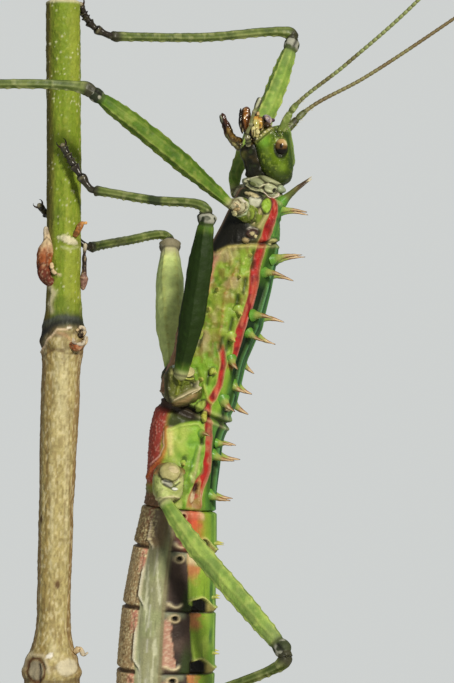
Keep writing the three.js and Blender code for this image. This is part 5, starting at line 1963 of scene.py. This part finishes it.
    def build(self) -> None:
        """Makes the stem."""
        bark = Cuticle("stem_bark", 0.72, 0, 0.45, 1, 0.3, 0.05).make()
        shaft = rod(self.line, self.girth(), 120, 640, (1, 0, 0), 0.004).mesh(self.bark)
        brown, rust, ash, bone = 0x6A3020, 0x9A5228, 0xBCB09A, 0xC6AE86
        char, dusky, orange = 0x2C221C, 0x8A665A, 0x9E6630
        buds = [self.bud(*row) for row in (
            (
                ((-11.4, -1.2, 97.9), (-12.1, -1.4, 97.8), (-12.7, -1.5, 99), (-12.6, -1.5, 100.7),
                    (-12.3, -1.3, 102.4), (-12.5, -1.1, 104.4)),
                (0.5, 0.66, 0.88, 0.88, 0.46, 0.16), (brown, brown, rust, bone, ash), 151,
            ),
            (((-11.8, -1.9, 100), (-11.5, -1.9, 98.9), (-10.7, -1.9, 98.5)), (0.14, 0.2, 0.06), (bone, bone),
                155),
            (((-9.1, -1.6, 103.1), (-8.6, -1.7, 103.8), (-8.1, -1.5, 104.7), (-7.5, -1.2, 104.8)),
                (0.24, 0.36, 0.26, 0.06), (orange, orange, 0xD6A060), 152),
            (((-8.1, 0, 96.7), (-8, 0, 97.95), (-7.9, 0, 99.7), (-7.9, 0, 101), (-7.8, 0, 102.4)),
                (0.16, 0.44, 0.2, 0.18, 0.14), (dusky, dusky, char, char, ash), 153),
            (
                ((-9.8, -1.7, 91.6), (-9.5, -2.1, 90.4), (-8.6, -2.3, 89.9), (-7.7, -2, 90.6),
                    (-7.6, -1.7, 91.2)),
                (0.12, 0.36, 0.46, 0.34, 0.12), (bone, orange, rust, bone, ash), 156,
            ),
            (((-9.4, -2.2, 91.1), (-8.8, -2.6, 90.3), (-8, -2.6, 90.3), (-7.5, -2.2, 91.2)),
                (0.08, 0.16, 0.16, 0.08), (ash, ash), 157),
            (((-8, -1.6, 91.2), (-7.8, -1.6, 91.9), (-8.2, -1.8, 92.2), (-8.8, -2, 91.8)),
                (0.2, 0.22, 0.18, 0.08), (bone, ash, bone), 158),
            # a dark lump inside the curled bark, painted shade
            (((-8.3, -1.7, 91.1), (-8.2, -1.8, 91.7), (-8.3, -1.8, 91.8)), (0.3, 0.3, 0.1), (char, char),
                159),
            (((-9.1, -0.8, 53.2), (-8.4, -1, 53.6), (-7.9, -1, 52.9), (-7.4, -1, 53.2)),
                (0.34, 0.28, 0.2, 0.05), (bone, ash), 154),
        )]
        dress(joined([shaft, *buds]), "stem_with_buds", bark, "stem_bark", "perch_stem")


@dataclass
class Stand:
    """A round wooden base with a brass socket that holds the stem."""

    radius: float = 46
    height: float = 8
    edge: float = 1.8
    bevel: float = 0.8
    axis: float = -12

    def wood(self) -> Material:
        """Oiled brown wood, its grain along X.

        Returns:
            The material.
        """
        net = Net("stand_wood")
        rings = net.noise(2.2, 4, 0.6, net.place((0.12, 1, 1)))
        pores = net.noise(0.5, 2, 0.5, net.place((0.06, 1, 1)))
        wave = net.maths("FRACT", rings * 7)
        grain = net.step(wave, 0, 0.9)
        colour = net.mix(grain, 0x4A2C1A, 0x7E502E)
        colour = net.mix(net.step(pores, 0.56, 0.72) * 0.6, colour, 0x2C1A10)
        rough = 0.42 - grain * 0.1 + net.step(pores, 0.56, 0.72) * 0.15
        normal = net.bump(1 - net.step(pores, 0.5, 0.75) * 0.8, 0.06)
        return net.finish(colour, rough, normal, Coat_Weight=0.25, Coat_Roughness=0.25)

    def brass(self) -> Material:
        """Brushed brass, duller in places.

        Returns:
            The material.
        """
        net = Net("stand_brass")
        brushed = net.noise(0.25, 3, 0.6, net.place((0.3, 0.3, 6)))
        dull = net.noise(3, 3)
        colour = net.mix(net.step(dull, 0.45, 0.75) * 0.5, 0xCEA45C, 0x8A6436)
        return net.finish(colour, 0.28 + brushed * 0.16, net.bump(brushed, 0.01), Metallic=1)

    def build(self) -> None:
        """Makes the stand."""
        r, h, e, b = self.radius, self.height, self.edge, self.bevel
        arc = [(r - e + e * math.sin(t), h - e + e * math.cos(t)) for t in np.linspace(0, math.pi / 2, 9)]
        rim = [(r - 7, h), (r - 7.2, h - 0.5), (r - 7.8, h - 0.5), (r - 8, h)]
        profile = [
            (0, h), (r * 0.5, h), *reversed(rim), *arc, (r, b), (r - b * 0.3, b * 0.3), (r - b, 0), (0, 0),
        ]
        dress(turned(profile, (0, 0), 160), "stand_base_turned", self.wood(), "stand_wood", "stand_base")
        foot, outer, bore = h + 0.3, 3.6, 2.8
        socket = [(radius, foot + rise) for radius, rise in (
            (0, 0), (5.5, 0), (5.6, 0.15), (5.6, 0.7), (5.3, 1), (outer + 0.4, 1.2), (outer + 0.05, 1.6),
            (outer, 2.2), (outer, 8), (outer, 8.7), (outer - 0.2, 9), (bore + 0.15, 9), (bore, 8.8),
            (bore, 1.6), (0, 1.6),
        )]
        dress(turned(socket, (self.axis, 0), 96), "stand_socket_turned", self.brass(), "stand_brass",
            "stand_rod")


# ---- the studio


@dataclass
class Studio:
    """The floor, the lights, the pale surround and the camera."""

    eye: Point = (9.277, -340.0, 90.54)
    lens: float = 148.74
    reach: float = 8.0
    lights: Sequence[tuple[str, Point, float, float, Point]] = (
        ("key", (400, -740, 520), 9, 0.16, (1, 0.95, 0.85)),
        ("fill", (-600, -500, 200), 0.8, 0.7, (0.9, 0.95, 1)),
        ("rim", (100, 650, 420), 0.25, 0.6, (0.95, 0.98, 1)),
    )
    surround: Point = (0.16, 0.17, 0.17)
    backdrop: Point = (0.62, 0.64, 0.63)

    def light(self, name: str, start: Point, power: float, size: float, colour: Point) -> None:
        """One soft square light that faces the insect.

        Args:
            name: its name.
            start: where it stands.
            power: its power in watts.
            size: its width in metres.
            colour: its red, green and blue.
        """
        lamp = bpy.data.lights.new(name, "AREA")
        lamp.energy, lamp.size, lamp.color = power, size, colour
        obj = bpy.data.objects.new(name, lamp)
        obj.location = Vector(start) * MM
        aim = Vector((self.eye[0], 0, self.eye[2])) * MM - obj.location
        obj.rotation_euler = aim.to_track_quat("-Z", "Y").to_euler()
        bpy.context.scene.collection.objects.link(obj)

    def floor(self) -> None:
        """A wide pale floor that fades out far away."""
        bm = bmesh.new()
        bmesh.ops.create_circle(bm, cap_ends=True, segments=96, radius=self.reach)
        bmesh.ops.translate(bm, verts=bm.verts, vec=(0, 0, -0.0001))
        bmesh.ops.recalc_face_normals(bm, faces=bm.faces)
        floor = mesh_from("studio_floor", bm)
        net = Net("pale_floor")
        soft = net.noise(60, 3)
        base = net.out("BsdfDiffuse", Color=net.tinted(0xE2E2DE, 0.97 + soft * 0.05))
        far = net.out("VectorMath", {"operation": "LENGTH"}, "Value", in0=net.place())
        mixed = net.out("MixShader", in0=net.step(far, 0.14, 0.42), in1=base, in2=net.out("BsdfTransparent"))
        net.node("OutputMaterial", in0=mixed)
        floor.data.materials.append(net.owner)

    def build(self) -> None:
        """Sets up the whole studio."""
        scene = bpy.context.scene
        self.floor()
        for row in self.lights:
            self.light(*row)
        net = Net("surround", bpy.data.worlds)
        seen = net.out("Background", Color=(*self.backdrop, 1))
        around = net.out("Background", Color=(*self.surround, 1))
        ray = net.out("LightPath", output="Is Camera Ray")
        net.node("OutputWorld", in0=net.out("MixShader", in0=ray, in1=around, in2=seen))
        scene.world = net.owner
        scene.view_settings.view_transform = "Standard"
        camera = bpy.data.cameras.new("camera")
        camera.lens, camera.sensor_width = self.lens, 36.0
        camera.clip_start, camera.clip_end = 0.01, 30.0
        obj = bpy.data.objects.new("camera", camera)
        obj.location = Vector(self.eye) * MM
        obj.rotation_euler = (math.pi / 2, 0, 0)
        scene.collection.objects.link(obj)
        scene.camera = obj


def main() -> None:
    """Builds the studio, the stand, the stem and the insect."""
    logging.basicConfig(level=logging.INFO, format="%(name)s: %(message)s")
    for part in (Studio(), Stand(), Stem(), Trunk(), Head()):
        part.build()
    finishes = {kind: Cuticle(f"{kind}_cuticle", *row).make() for kind, row in {
        "coxa": (0.5, 0.08, 0.35, 0.6, 0.18, 0.03), "femur": (0.62, 0.0, 0.35, 0.9, 0.2, 0.03),
        "tibia": (0.52, 0.04, 0.35, 0.8, 0.16, 0.02), "tarsus": (0.4, 0.2, 0.3, 0.5, 0.14, 0.015),
    }.items()}
    for leg in LEGS:
        leg.pieces(finishes)


if __name__ == "__main__":
    main()
